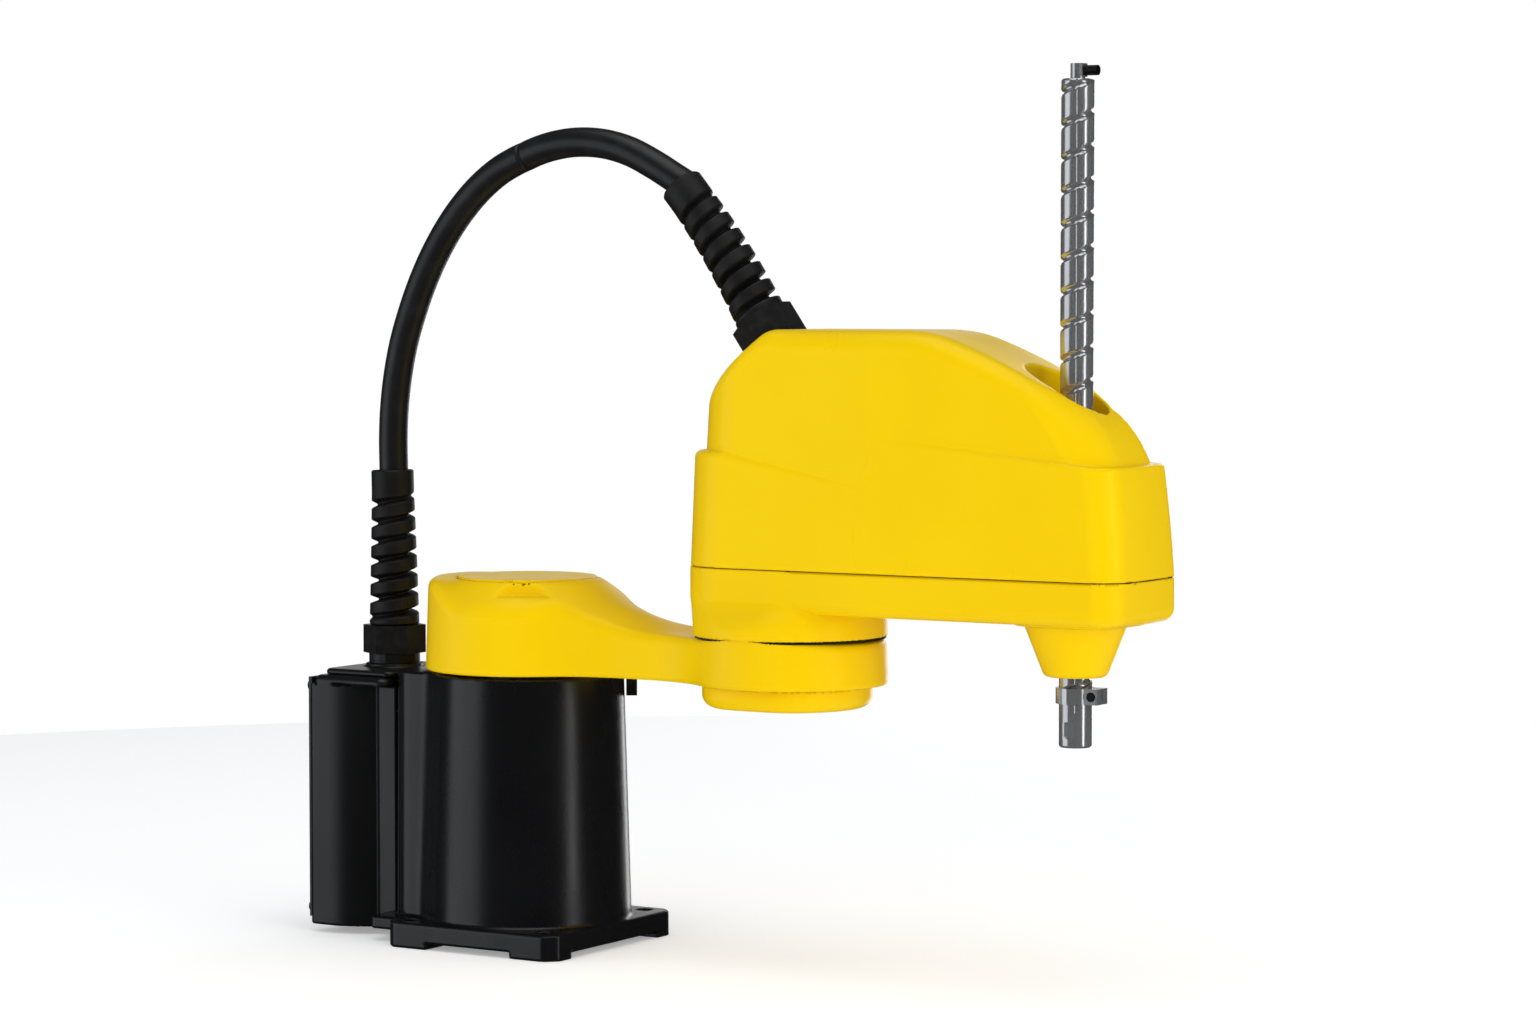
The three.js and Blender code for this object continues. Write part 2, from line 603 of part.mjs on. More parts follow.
function beltLoop(x, offset, low, high) {
  const [small, large] = [MOTOR_PULLEY_R + offset, NUT_PULLEY_R + offset];
  const span = LINK_2 - x;
  const lean = Math.acos((large - small) / span);
  const shape = new THREE.Shape();
  shape.absarc(LINK_2, 0, large, -(Math.PI - lean), Math.PI - lean);
  shape.absarc(x, 0, small, Math.PI - lean, Math.PI + lean);
  return plan(shape, low, high, 7);
}
function belt({ x, low, high }) {
  const outside = beltLoop(x, GAP + BELT, low + 1.5, high - 1.5);
  return cut(outside, beltLoop(x, GAP, low, high));
}

// A bridge over the casting: a table for the motor, and a leg with a foot on each side.
const BRIDGE = { half: 26, leg: 31, foot: 36, long: 14 };
function driveBracket({ x, plate }, back, front) {
  const { half, leg, foot, long } = BRIDGE;
  const [top, floor] = [plate + PLATE_THICK, PARTING + 1];
  const table = block(back, front, -half, half, plate, top);
  const frame = cut(
    block(x - long, x + long, -leg, leg, floor, top),
    block(x - long - 1, x + long + 1, -half, half, floor - 1, plate),
  );
  const feet = cut(
    block(x - long, x + long, -foot, foot, floor, floor + 3),
    block(x - long - 1, x + long + 1, -half, half, floor - 1, floor + 4),
  );
  return cut(union(table, frame, feet), disc(MOTOR_SHAFT_R + 2, plate - 1, plate + 9, SMALL, x));
}

function motorPulley({ x, low, high }, top) {
  return union(disc(MOTOR_PULLEY_R, low, high, MEDIUM, x), disc(MOTOR_SHAFT_R, low, top, SMALL, x));
}

function spindleMotor({ x, plate }, top) {
  return motorFrame(20, plate + PLATE_THICK + GAP, top, x, -1, -4);
}

const liftBridge = cut(driveBracket(LIFT, 118, 213), disc(12.5, 300, 330, MEDIUM, LINK_2));
add(arm2, 'lift_bracket', liftBridge, ALUMINIUM);
add(arm2, 'lift_motor', spindleMotor(LIFT, 356), BLACK_CASTING);
add(arm2, 'lift_brake', disc(15, 356.3, 366, MEDIUM, LIFT.x), DARK_STEEL);
add(arm2, 'lift_belt', belt(LIFT), RUBBER);
add(arm2, 'lift_motor_pulley', motorPulley(LIFT, 348), ALUMINIUM);
add(arm2, 'roll_bracket', driveBracket(ROLL, 72, 118), ALUMINIUM);
add(arm2, 'roll_motor', spindleMotor(ROLL, 348), BLACK_CASTING);
add(arm2, 'roll_belt', belt(ROLL), RUBBER);
add(arm2, 'roll_motor_pulley', motorPulley(ROLL, 340), ALUMINIUM);

// ---- spindle: ball-screw spline shaft with its two nuts ----
const NUT_BORE = SHAFT_R + GAP;
const SPLINE_NUT_R = SPLINE_BORE_R - 1;
function splineNut() {
  const outline = [
    [NUT_BORE, 194.5], [SPLINE_NUT_R, 194.5], [SPLINE_NUT_R, 258], [NUT_PULLEY_R, 258.5],
    [NUT_PULLEY_R, 273.5], [NUT_BORE, 273.5],
  ];
  return turned(outline, MEDIUM);
}
function screwNut() {
  const outline = [
    [NUT_BORE, 280], [NUT_PULLEY_R - 3, 280], [NUT_PULLEY_R, 286.5], [NUT_PULLEY_R, 301.5],
    [16, 302], [16, 316.5], [NUT_BORE, 316.5],
  ];
  return turned(outline, MEDIUM);
}
add(spindle, 'spline_nut', splineNut(), STEEL);
add(spindle, 'spline_bearing', ring(SPLINE_NUT_R + GAP, BEARING_BORE_R - GAP, 228, 246, MEDIUM), STEEL);
add(spindle, 'screw_nut', screwNut(), STEEL);
add(spindle, 'screw_bearing', ring(16.3, 25, 303, LIFT.plate - GAP, MEDIUM), STEEL);
add(spindle, 'nose_seal', ring(SHAFT_R + 0.5, 17.5, 189.6, 191.7, MEDIUM), RUBBER);

const JOURNAL_R = 4.6;
function shaft() {
  const outline = [
    [0, SHAFT_LOW], [SHAFT_R - 1, SHAFT_LOW], [SHAFT_R, SHAFT_LOW + 1], [SHAFT_R, SHAFT_TOP - 1],
    [SHAFT_R - 1, SHAFT_TOP], [0, SHAFT_TOP],
  ];
  const keyFlat = block(-5, 5, -SHAFT_R - 1, 0.6 - SHAFT_R, 155, 164);
  return cut(turned(outline, MEDIUM), keyFlat);
}
add(spindle, 'spindle_shaft', shaft(), STEEL);

// Stop collar below the nose: a split ring with two ears drawn together by a screw.
const COLLAR = { low: 176, high: 185.5, r: 12, ear: 18, screwX: 14 };
function stopCollar() {
  const { low, high, r, ear, screwX } = COLLAR;
  const body = union(disc(r, low, high, MEDIUM), block(0, ear, -7.5, 6.5, low, high));
  const slit = block(0, ear + 1, -1, 0.4, low - 1, high + 1);
  const bore = disc(NUT_BORE, low - 1, high + 1, MEDIUM);
  return cut(body, slit, bore, rodY(3, -9, -3, screwX, (low + high) / 2));
}
add(spindle, 'stop_collar', stopCollar(), STEEL);
const collarScrew = rodY(2.6, -8.2, -3.3, COLLAR.screwX, (COLLAR.low + COLLAR.high) / 2);
add(spindle, 'stop_collar_screw', collarScrew, DARK_STEEL);

const TOP_STOP_HIGH = 558.6;
const topStop = union(
  disc(JOURNAL_R, SHAFT_TOP + GAP, TOP_STOP_HIGH, MEDIUM),
  block(0, 4.5, -3.6, 3.6, SHAFT_TOP + 1.1, TOP_STOP_HIGH),
);
add(spindle, 'shaft_top_stop', topStop, STEEL);
add(spindle, 'shaft_top_screw', rodX(3.1, 4.8, 13.5, 0, 554.3, 14), DARK_STEEL);

// ---- cable from the base gland over to the arm gland, in two lengths that meet above joint 1 ----
const CABLE_LOWER = [
  [-107.5, 305], [-107.8, 325], [-106.8, 345], [-104, 366], [-99, 388], [-91.5, 409.5], [-82, 431],
  [-70, 452], [-55.5, 471.5], [-38.5, 488.5], [-22, 500.3], [-8, 507.1], [0, 510],
];
const CABLE_UPPER = [
  [0.6, 510.2], [8.6, 513.1], [22, 516.4], [39.5, 518.3], [60, 517], [79.5, 512], [98, 503.5],
  [114.8, 494.2],
];
function cable(route, steps) {
  const points = route.map(([x, z]) => new THREE.Vector3(x, 0, z));
  const curve = new THREE.CatmullRomCurve3(points, false, 'centripetal');
  const section = new THREE.Shape();
  section.absarc(0, 0, CABLE_R, 0, 2 * Math.PI);
  return solid(new THREE.ExtrudeGeometry(section, { steps, extrudePath: curve, curveSegments: 5 }));
}
add(base, 'cable_lower', cable(CABLE_LOWER, 12), CABLE_JACKET);
add(arm1, 'cable_upper', cable(CABLE_UPPER, 7), CABLE_JACKET);

export default robot;
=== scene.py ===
"""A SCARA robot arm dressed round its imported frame: castings, cover, spindle, cables, paint and studio."""
import json
import math

import bpy
import numpy as np
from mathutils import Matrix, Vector


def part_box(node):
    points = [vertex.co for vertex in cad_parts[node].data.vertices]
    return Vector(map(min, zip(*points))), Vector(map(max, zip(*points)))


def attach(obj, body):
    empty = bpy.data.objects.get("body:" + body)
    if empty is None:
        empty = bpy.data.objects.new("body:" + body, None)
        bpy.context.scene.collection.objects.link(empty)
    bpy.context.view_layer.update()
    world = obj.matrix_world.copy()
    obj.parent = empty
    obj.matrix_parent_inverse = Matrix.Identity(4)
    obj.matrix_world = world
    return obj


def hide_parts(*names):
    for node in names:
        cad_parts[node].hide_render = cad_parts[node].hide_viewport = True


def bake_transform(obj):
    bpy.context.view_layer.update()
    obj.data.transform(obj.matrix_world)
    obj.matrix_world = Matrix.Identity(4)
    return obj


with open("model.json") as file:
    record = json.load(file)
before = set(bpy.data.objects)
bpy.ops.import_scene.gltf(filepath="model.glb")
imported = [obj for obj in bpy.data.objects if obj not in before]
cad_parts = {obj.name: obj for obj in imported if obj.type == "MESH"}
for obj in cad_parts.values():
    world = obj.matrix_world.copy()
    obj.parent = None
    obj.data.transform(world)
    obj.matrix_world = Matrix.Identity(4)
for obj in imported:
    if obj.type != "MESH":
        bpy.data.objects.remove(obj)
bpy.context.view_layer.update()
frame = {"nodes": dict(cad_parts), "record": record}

MM = 0.001                       # shapes are worked out in millimetres and meshed in metres


def low_of(node):
    return [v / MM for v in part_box(node)[0]]


def high_of(node):
    return [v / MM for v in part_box(node)[1]]


# ---- places read from the frame, in millimetres ----
SPINDLE_X = (low_of("spindle_shaft")[0] + high_of("spindle_shaft")[0]) / 2
JOINT_2_X = (low_of("joint_2_motor")[0] + high_of("joint_2_motor")[0]) / 2
SHAFT_LOW = low_of("spindle_shaft")[2]
SHAFT_TOP = high_of("spindle_shaft")[2]
SHAFT_R = (high_of("spindle_shaft")[1] - low_of("spindle_shaft")[1]) / 2
ARM_1_LOW = low_of("arm_1_casting")[2]
ARM_1_TOP = high_of("arm_1_cap")[2]
HUB_LOW = low_of("arm_2_casting")[2] + 16.5
CASTING_TOP = high_of("arm_2_casting")[2]
COVER_LOW = low_of("arm_2_cover")[2]
COVER_TOP = high_of("arm_2_cover")[2]
BASE_TOP = high_of("base_casting")[2]


# ---- camera ----
VIEW_AZIMUTH = math.radians(31.511)
VIEW_PITCH = math.radians(3.079)
LENS = 97.64


def look_from(azimuth, pitch):
    """The direction a camera looks in, at that azimuth and pitch."""
    level = math.cos(pitch)
    return Vector((-math.sin(azimuth) * level, math.cos(azimuth) * level, -math.sin(pitch)))


def add_camera():
    camera = bpy.data.objects.new("camera", bpy.data.cameras.new("camera"))
    camera.data.lens = LENS
    camera.data.sensor_width = 36
    camera.location = (1.5453, -2.2216, 0.4250)
    camera.rotation_euler = look_from(VIEW_AZIMUTH, VIEW_PITCH).to_track_quat("-Z", "Y").to_euler()
    bpy.context.scene.collection.objects.link(camera)
    bpy.context.scene.camera = camera


# ---- material nodes ----
class Surface:
    """A material whose node tree is built up call by call round one Principled shader."""

    def __init__(self, name):
        self.material = bpy.data.materials.new(name)
        self.material.use_nodes = True
        self.tree = self.material.node_tree
        self.shader = self.tree.nodes["Principled BSDF"]
        self.place = self.tree.nodes.new("ShaderNodeTexCoord").outputs["Object"]

    def node(self, kind, **inputs):
        made = self.tree.nodes.new(kind)
        for key, value in inputs.items():
            socket = made.inputs[key.replace("_", " ")]
            if isinstance(value, bpy.types.NodeSocket):
                self.tree.links.new(value, socket)
            else:
                socket.default_value = value
        return made

    def noise(self, scale, detail=2.0, stretch=(1, 1, 1)):
        """Noise of about 1/scale metres, drawn out along an axis by stretch."""
        mapping = self.node("ShaderNodeMapping", Vector=self.place, Scale=stretch)
        place = mapping.outputs["Vector"]
        return self.node("ShaderNodeTexNoise", Vector=place, Scale=scale, Detail=detail).outputs["Fac"]

    def span(self, value, low, high, start=0.0, end=1.0):
        """value between start and end becomes low to high."""
        made = self.tree.nodes.new("ShaderNodeMapRange")
        self.tree.links.new(value, made.inputs["Value"])
        for key, number in (("From Min", start), ("From Max", end), ("To Min", low), ("To Max", high)):
            made.inputs[key].default_value = number
        return made.outputs["Result"]

    def mix(self, amount, a, b):
        made = self.tree.nodes.new("ShaderNodeMix")
        made.data_type = "RGBA"
        self.tree.links.new(amount, made.inputs["Factor"])
        for socket, value in ((made.inputs[6], a), (made.inputs[7], b)):
            if isinstance(value, bpy.types.NodeSocket):
                self.tree.links.new(value, socket)
            else:
                socket.default_value = (*value, 1)
        return made.outputs[2]

    def link(self, value, socket):
        self.tree.links.new(value, self.shader.inputs[socket])

    def bump(self, height, distance, strength=1.0, under=None):
        """height raised by distance metres; under is a coarser bump that this one rides on."""
        made = self.node("ShaderNodeBump", Height=height, Distance=distance, Strength=strength)
        if under is not None:
            self.tree.links.new(under, made.inputs["Normal"])
        return made.outputs["Normal"]

    def edges(self, start, end):
        """1 on convex edges and corners, fading to 0 on flat surfaces."""
        point = self.tree.nodes.new("ShaderNodeNewGeometry").outputs["Pointiness"]
        return self.span(point, 0.0, 1.0, start, end)


def paint(name, colour, shade, worn, rough, peel, grain=0.0):
    """Powder coat: faint colour drift, orange peel, handling marks and thinner paint on the edges."""
    s = Surface(name)
    drift = s.span(s.noise(9, 3), 0.0, 1.0, 0.35, 0.65)
    body = s.mix(drift, colour, shade)
    edge = s.edges(0.53, 0.62)
    thin = s.node("ShaderNodeMath", **{"Value": edge})
    thin.operation = "MULTIPLY"
    s.tree.links.new(s.span(s.noise(160, 4), 0.0, 0.5, 0.45, 0.7), thin.inputs[1])
    s.link(s.mix(thin.outputs[0], body, worn), "Base Color")
    marks = s.noise(38, 6, (1, 1, 0.35))
    s.link(s.span(marks, rough - 0.035, rough + 0.06, 0.3, 0.7), "Roughness")
    coarse = s.bump(s.noise(420, 2), peel)
    s.link(s.bump(s.noise(2600, 1), grain, under=coarse) if grain else coarse, "Normal")
    return s


def yellow(name, colour, shade, rough, peel):
    """Yellow powder coat, whose sheen keeps the paint's own hue."""
    s = paint(name, colour, shade, (0.95, 0.66, 0.03), rough, peel)
    s.shader.inputs["Specular IOR Level"].default_value = 0.35
    s.shader.inputs["Specular Tint"].default_value = (1, 0.82, 0.2, 1)
    return s.material


def yellow_paint():
    return yellow("yellow_paint", (0.90, 0.595, 0.0), (0.87, 0.565, 0.0), 0.33, 0.000025)


def yellow_cover():
    return yellow("yellow_cover", (0.905, 0.605, 0.0), (0.88, 0.58, 0.0), 0.3, 0.00002)


WORN_BLACK = (0.02, 0.02, 0.023)


def black_casting():
    s = paint("black_casting", (0.0028, 0.0029, 0.0036), (0.004, 0.0042, 0.0052), WORN_BLACK,
              0.26, 0.00003, 0.000008)
    s.shader.inputs["Specular IOR Level"].default_value = 0.5
    return s.material


def black_sheet():
    s = paint("black_sheet", (0.0032, 0.0033, 0.004), (0.0045, 0.0047, 0.0055), WORN_BLACK,
              0.3, 0.00003, 0.000008)
    return s.material


def black_plastic():
    s = paint("black_plastic", (0.004, 0.004, 0.0045), (0.006, 0.006, 0.0065), (0.02, 0.02, 0.021),
              0.4, 0.00003, 0.00001)
    return s.material


def rubber():
    """Moulded elastomer with a dry bloom in patches."""
    s = Surface("rubber")
    bloom = s.span(s.noise(60, 5), 0.0, 1.0, 0.4, 0.75)
    s.link(s.mix(bloom, (0.004, 0.004, 0.0045), (0.008, 0.008, 0.009)), "Base Color")
    s.link(s.span(s.noise(35, 3), 0.5, 0.62), "Roughness")
    s.link(s.bump(s.noise(1500, 3), 0.00002), "Normal")
    return s.material


def cable_jacket():
    """Extruded jacket: a fine grain all over, a soft sheen and a little dust."""
    s = Surface("cable_jacket")
    dust = s.span(s.noise(70, 6), 0.0, 1.0, 0.45, 0.8)
    s.link(s.mix(dust, (0.006, 0.0062, 0.0075), (0.011, 0.0115, 0.013)), "Base Color")
    s.link(s.span(s.noise(30, 4), 0.36, 0.46), "Roughness")
    s.link(s.bump(s.noise(900, 2), 0.000015), "Normal")
    return s.material


def metal(name, colour, shade, rough, along, scratch, metallic=1.0):
    """Bare metal with tool lines drawn out along one axis."""
    s = Surface(name)
    s.shader.inputs["Metallic"].default_value = metallic
    lines = s.noise(700, 3, along)
    s.link(s.mix(s.noise(40, 4), colour, shade), "Base Color")
    s.link(s.span(lines, rough * 0.8, rough * 1.35, 0.3, 0.7), "Roughness")
    s.link(s.bump(lines, scratch), "Normal")
    return s.material


def make_materials():
    return {
        "yellow_paint": yellow_paint(), "yellow_cover": yellow_cover(), "black_casting": black_casting(),
        "black_sheet": black_sheet(), "black_plastic": black_plastic(), "rubber": rubber(),
        "cable_jacket": cable_jacket(),
        "steel": metal("steel", (0.62, 0.63, 0.65), (0.54, 0.55, 0.57), 0.18, (1, 1, 0.06), 0.000003, 0.86),
        "dark_steel": metal("dark_steel", (0.045, 0.045, 0.05), (0.03, 0.03, 0.034), 0.32, (1, 1, 1),
                            0.00001),
        "aluminium": metal("aluminium", (0.6, 0.61, 0.63), (0.52, 0.53, 0.55), 0.3, (0.1, 1, 1), 0.00001),
    }


# ---- solids as distance fields: negative inside, in millimetres ----
def meet(a, b, r=0.0):
    """What a and b share, its edge rounded to radius r."""
    if np.max(r) <= 0:
        return np.maximum(a, b)
    return np.minimum(-r, np.maximum(a, b)) + np.hypot(np.maximum(r + a, 0), np.maximum(r + b, 0))


def join(a, b, r=0.0):
    """a and b together, with a fillet of radius r where they meet."""
    return -meet(-a, -b, r)


def less(a, b, r=0.0):
    """a with b cut away, the new edge rounded to radius r."""
    return meet(a, -b, r)


def soft_low(a, b, k):
    """The lower of a and b, run together over a width k."""
    h = np.maximum(k - np.abs(a - b), 0) / k
    return np.minimum(a, b) - h * h * k / 4


def smooth_step(v, start, end):
    t = np.clip((v - start) / (end - start), 0, 1)
    return t * t * (3 - 2 * t)


def drum(x, y, z, r, low, high, cx=0.0, cy=0.0, edge=0.0, cone=0.0):
    """An upright cylinder; cone is how much its radius grows per millimetre of height."""
    wall = (np.hypot(x - cx, y - cy) - r - cone * (z - low)) / math.hypot(1, cone)
    return meet(wall, np.maximum(low - z, z - high), edge)


def rounded(x, y, x0, x1, half, r0, r1):
    """A plan outline from x0 to x1, half wide each way, its corners r0 at x0 and r1 at x1."""
    side = np.abs(y) - half
    return meet(meet(side, x0 - x, r0), x - x1, r1)


def slab(x, y, z, x0, x1, y0, y1, z0, z1, edge=0.0):
    across = meet(np.maximum(x0 - x, x - x1), np.maximum(y0 - y, y - y1), edge)
    return meet(across, np.maximum(z0 - z, z - z1), edge)


def curve_through(points):
    """A smooth height function of x through a few (x, z) points."""
    xs = np.array([p[0] for p in points], float)
    zs = np.array([p[1] for p in points], float)
    slopes = np.gradient(zs, xs)
    fine = np.linspace(xs[0], xs[-1], 400)
    i = np.clip(np.searchsorted(xs, fine) - 1, 0, len(xs) - 2)
    width = xs[i + 1] - xs[i]
    t = (fine - xs[i]) / width
    heights = ((1 + 2 * t) * (1 - t) ** 2 * zs[i] + t * (1 - t) ** 2 * width * slopes[i]
               + t * t * (3 - 2 * t) * zs[i + 1] + t * t * (t - 1) * width * slopes[i + 1])
    return lambda x: np.interp(x, fine, heights)


# ---- meshing a distance field ----
def net(field, low, high, step):
    """Surface nets: a vertex in each grid cell that the surface crosses, a quad across each crossed edge."""
    axes = [np.arange(a, b + step, step) for a, b in zip(low, high)]
    size = [len(a) for a in axes]
    x, y, z = axes[0][:, None, None], axes[1][None, :, None], axes[2][None, None, :]
    values = np.broadcast_to(field(x, y, z), size)
    values = np.where(np.abs(values) < 1e-7, 1e-7, values)
    inside = values < 0
    corners = [(i, j, k) for i in (0, 1) for j in (0, 1) for k in (0, 1)]

    def corner(array, c):
        return array[c[0]:size[0] - 1 + c[0], c[1]:size[1] - 1 + c[1], c[2]:size[2] - 1 + c[2]]

    count = sum(corner(inside, c).astype(np.int8) for c in corners)
    cells = np.argwhere((count > 0) & (count < 8))
    number = -np.ones([s - 1 for s in size], int)
    number[tuple(cells.T)] = np.arange(len(cells))
    total = np.zeros((len(cells), 3))
    hits = np.zeros(len(cells))
    for axis in range(3):
        for c in corners:
            if c[axis]:
                continue
            far = tuple(v + (n == axis) for n, v in enumerate(c))
            a = values[tuple((cells + c).T)]
            b = values[tuple((cells + far).T)]
            crossed = (a < 0) != (b < 0)
            point = np.tile(np.array(c, float), (len(cells), 1))
            point[:, axis] += np.where(crossed, a / np.where(crossed, a - b, 1), 0)
            total += point * crossed[:, None]
            hits += crossed
    points = np.array(low) + step * (cells + total / hits[:, None])
    quads = []
    for axis in range(3):
        u, v = (axis + 1) % 3, (axis + 2) % 3
        near = [slice(None)] * 3
        near[axis] = slice(0, size[axis] - 1)
        far = list(near)
        far[axis] = slice(1, size[axis])
        change = inside[tuple(near)].astype(np.int8) - inside[tuple(far)]
        for sign in (1, -1):
            at = np.argwhere(change == sign)
            ring = []
            for du, dv in ((-1, -1), (0, -1), (0, 0), (-1, 0))[::sign]:
                shifted = at.copy()
                shifted[:, u] += du
                shifted[:, v] += dv
                ring.append(number[tuple(shifted.T)])
            quads.append(np.stack(ring, 1))
    return points, np.concatenate(quads)


def gradient(field, p, reach=0.05):
    columns = []
    for axis in range(3):
        shift = np.zeros(3)
        shift[axis] = reach
        columns.append(field(*(p + shift).T) - field(*(p - shift).T))
    return np.stack(columns, 1) / (2 * reach)


def carve(name, field, low, high, step=1.7):
    """A mesh object of the field's surface, its points drawn onto the surface and shaded by its slope."""
    points, quads = net(field, low, high, step)
    for _ in range(3):
        slope = gradient(field, points)
        shift = -slope * (field(*points.T) / np.maximum((slope ** 2).sum(1), 0.05))[:, None]
        length = np.linalg.norm(shift, axis=1, keepdims=True)
        points = points + shift * np.minimum(1, 0.45 * step / np.maximum(length, 1e-9))
    normals = gradient(field, points, 0.3)
    normals /= np.maximum(np.linalg.norm(normals, axis=1, keepdims=True), 1e-9)
    return make_mesh(name, points, quads.tolist(), normals)


def make_mesh(name, points, faces, normals=None):
    mesh = bpy.data.meshes.new(name)
    mesh.from_pydata((np.asarray(points) * MM).tolist(), [], faces)
    mesh.shade_smooth()
    if normals is not None:
        mesh.normals_split_custom_set_from_vertices(normals.tolist())
    made = bpy.data.objects.new(name, mesh)
    bpy.context.scene.collection.objects.link(made)
    return made


# ---- swept round pieces, whose centre line lies in the XZ plane ----
def sweep(name, centres, radii):
    """Rings of points round (x, z) centres; radii has a row for each ring and a column for each angle."""
    centres = np.asarray(centres, float)
    radii = np.asarray(radii, float)
    rows, sides = radii.shape
    tangent = np.gradient(centres, axis=0)
    tangent /= np.linalg.norm(tangent, axis=1, keepdims=True)
    angle = np.linspace(0, 2 * math.pi, sides, endpoint=False)
    x = centres[:, :1] + radii * np.cos(angle) * tangent[:, 1:]
    z = centres[:, 1:] - radii * np.cos(angle) * tangent[:, :1]
    y = radii * np.sin(angle)
    points = np.stack([x, y, z], 2).reshape(-1, 3)
    faces = []
    for i in range(rows - 1):
        a, b = i * sides, (i + 1) * sides
        faces += [(a + j, a + (j + 1) % sides, b + (j + 1) % sides, b + j) for j in range(sides)]
    faces.append(tuple(range(sides))[::-1])
    faces.append(tuple(range((rows - 1) * sides, rows * sides)))
    return make_mesh(name, points, faces)


def smooth_route(points, spacing):
    """Evenly spaced points on a centripetal Catmull-Rom curve through the given ones."""
    p = np.array(points, float)
    p = np.vstack([2 * p[0] - p[1], p, 2 * p[-1] - p[-2]])
    made = []
    for i in range(1, len(p) - 2):
        a, b, c, d = p[i - 1:i + 3]
        t1 = np.linalg.norm(b - a) ** 0.5
        t2 = t1 + np.linalg.norm(c - b) ** 0.5
        t3 = t2 + np.linalg.norm(d - c) ** 0.5
        t = np.linspace(t1, t2, 24, endpoint=False)[:, None]
        a1 = a + (b - a) * t / t1
        a2 = b + (c - b) * (t - t1) / (t2 - t1)
        a3 = c + (d - c) * (t - t2) / (t3 - t2)
        b1, b2 = a1 + (a2 - a1) * t / t2, a2 + (a3 - a2) * (t - t1) / (t3 - t1)
        made.append(b1 + (b2 - b1) * (t - t1) / (t2 - t1))
    made = np.vstack(made + [p[-2:-1]])
    run = np.concatenate([[0], np.cumsum(np.linalg.norm(np.diff(made, axis=0), axis=1))])
    at = np.linspace(0, run[-1], max(2, round(run[-1] / spacing) + 1))
    return np.stack([np.interp(at, run, made[:, 0]), np.interp(at, run, made[:, 1])], 1), run[-1]


# ---- cables: one arch in two lengths that meet above joint 1 ----
CABLE_R = 9.5
CABLE_LOWER = [
    (-107.5, 305), (-107.8, 325), (-106.8, 345), (-104, 366), (-99, 388), (-91.5, 409.5), (-82, 431),
    (-70, 452), (-55.5, 471.5), (-38.5, 488.5), (-22, 500.3), (-8, 507.1), (0, 510),
]
CABLE_UPPER = [
    (0.6, 510.2), (8.6, 513.1), (22, 516.4), (39.5, 518.3), (60, 517), (79.5, 512), (98, 503.5),
    (114.8, 494.2),
]
CABLE_TUCK = 12                  # how far each end goes on inside its strain relief


def add_cable(name, node, route):
    centres, length = smooth_route(route, 3.0)
    piece = sweep(name, centres, np.full((len(centres), 40), CABLE_R))
    dress(piece, "cable_jacket", None, node)
    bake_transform(piece)
    return piece


def add_cables():
    lower = [(CABLE_LOWER[0][0], CABLE_LOWER[0][1] - CABLE_TUCK), *CABLE_LOWER]
    lean = np.subtract(CABLE_UPPER[-1], CABLE_UPPER[-2])
    end = np.add(CABLE_UPPER[-1], lean / np.linalg.norm(lean) * CABLE_TUCK)
    upper = [(0.0, 510.0), *CABLE_UPPER[1:], tuple(end)]
    add_cable("cable_arch_lower", "cable_lower", lower)
    add_cable("cable_arch_upper", "cable_upper", upper)


# ---- strain reliefs: a spiral-cut tail with a plain collar on top ----
RELIEF_LENGTH = 102.3
RELIEF_COLLAR = 14.3
RELIEF_TURNS = 7
RELIEF_R = (16.5, 14.0)
RELIEF_BORE = 9.75
GROOVE_FLOOR = 10.3
SPIRAL_START = 0.45


def add_relief(name, node, body, foot, out, top):
    """foot and top are the ends of its centre line in X and Z; out is its direction as it leaves the nut."""
    foot, top = np.array(foot, float), np.array(top, float)
    t = np.linspace(0, 1, 300)[:, None]
    middle = foot + np.array(out) * RELIEF_LENGTH / 2
    line = foot * (1 - t) ** 2 + 2 * middle * t * (1 - t) + top * t ** 2
    angle = np.linspace(0, 2 * math.pi, 64, endpoint=False)[None, :]
    height = t * RELIEF_LENGTH
    spiral = RELIEF_LENGTH - RELIEF_COLLAR
    outer = RELIEF_R[0] + (RELIEF_R[1] - RELIEF_R[0]) * np.clip(height / spiral, 0, 1)
    phase = (height / spiral * RELIEF_TURNS - angle / (2 * math.pi) - SPIRAL_START) % 1
    groove = smooth_step(phase, 0.02, 0.24) - smooth_step(phase, 0.28, 0.5)
    fade = smooth_step(height, 2.0, 9.0) * (1 - smooth_step(height, spiral - 6, spiral + 1))
    ends = 1 - smooth_step(height, 0, 1.0) + smooth_step(height, RELIEF_LENGTH - 1.0, RELIEF_LENGTH)
    radii = outer - (outer - GROOVE_FLOOR) * groove * fade - 0.8 * ends
    bore = np.full((12, 64), RELIEF_BORE)
    back = line[np.linspace(299, 0, 12).astype(int)]
    piece = sweep(name, np.vstack([line, back]), np.vstack([radii, bore]))
    return dress(piece, "rubber", body, node)


# ---- pieces on the frame ----
MATERIALS = make_materials()
SLOTS = {part["node"]: part["material_slot"] for part in frame["record"]["subparts"]}


def dress(piece, slot, body, *nodes):
    piece.data.materials.clear()
    piece.data.materials.append(MATERIALS[slot])
    if nodes:
        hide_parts(*nodes)
    if body:
        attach(piece, body)
    return piece


# ---- arm 2 ----
ARM_2_BACK = JOINT_2_X - 61.5
ARM_2_FRONT = SPINDLE_X + 51
ARM_2_HALF = 46.5
REAR_CORNER = 38
FRONT_CORNER = 17
BOW = 330                        # radius of the bowed front face, seen from above
COVER_WALL = 5
SHOULDER_FRONT = 320             # top of the cover's lower band at the front
SHOULDER_REAR = 324


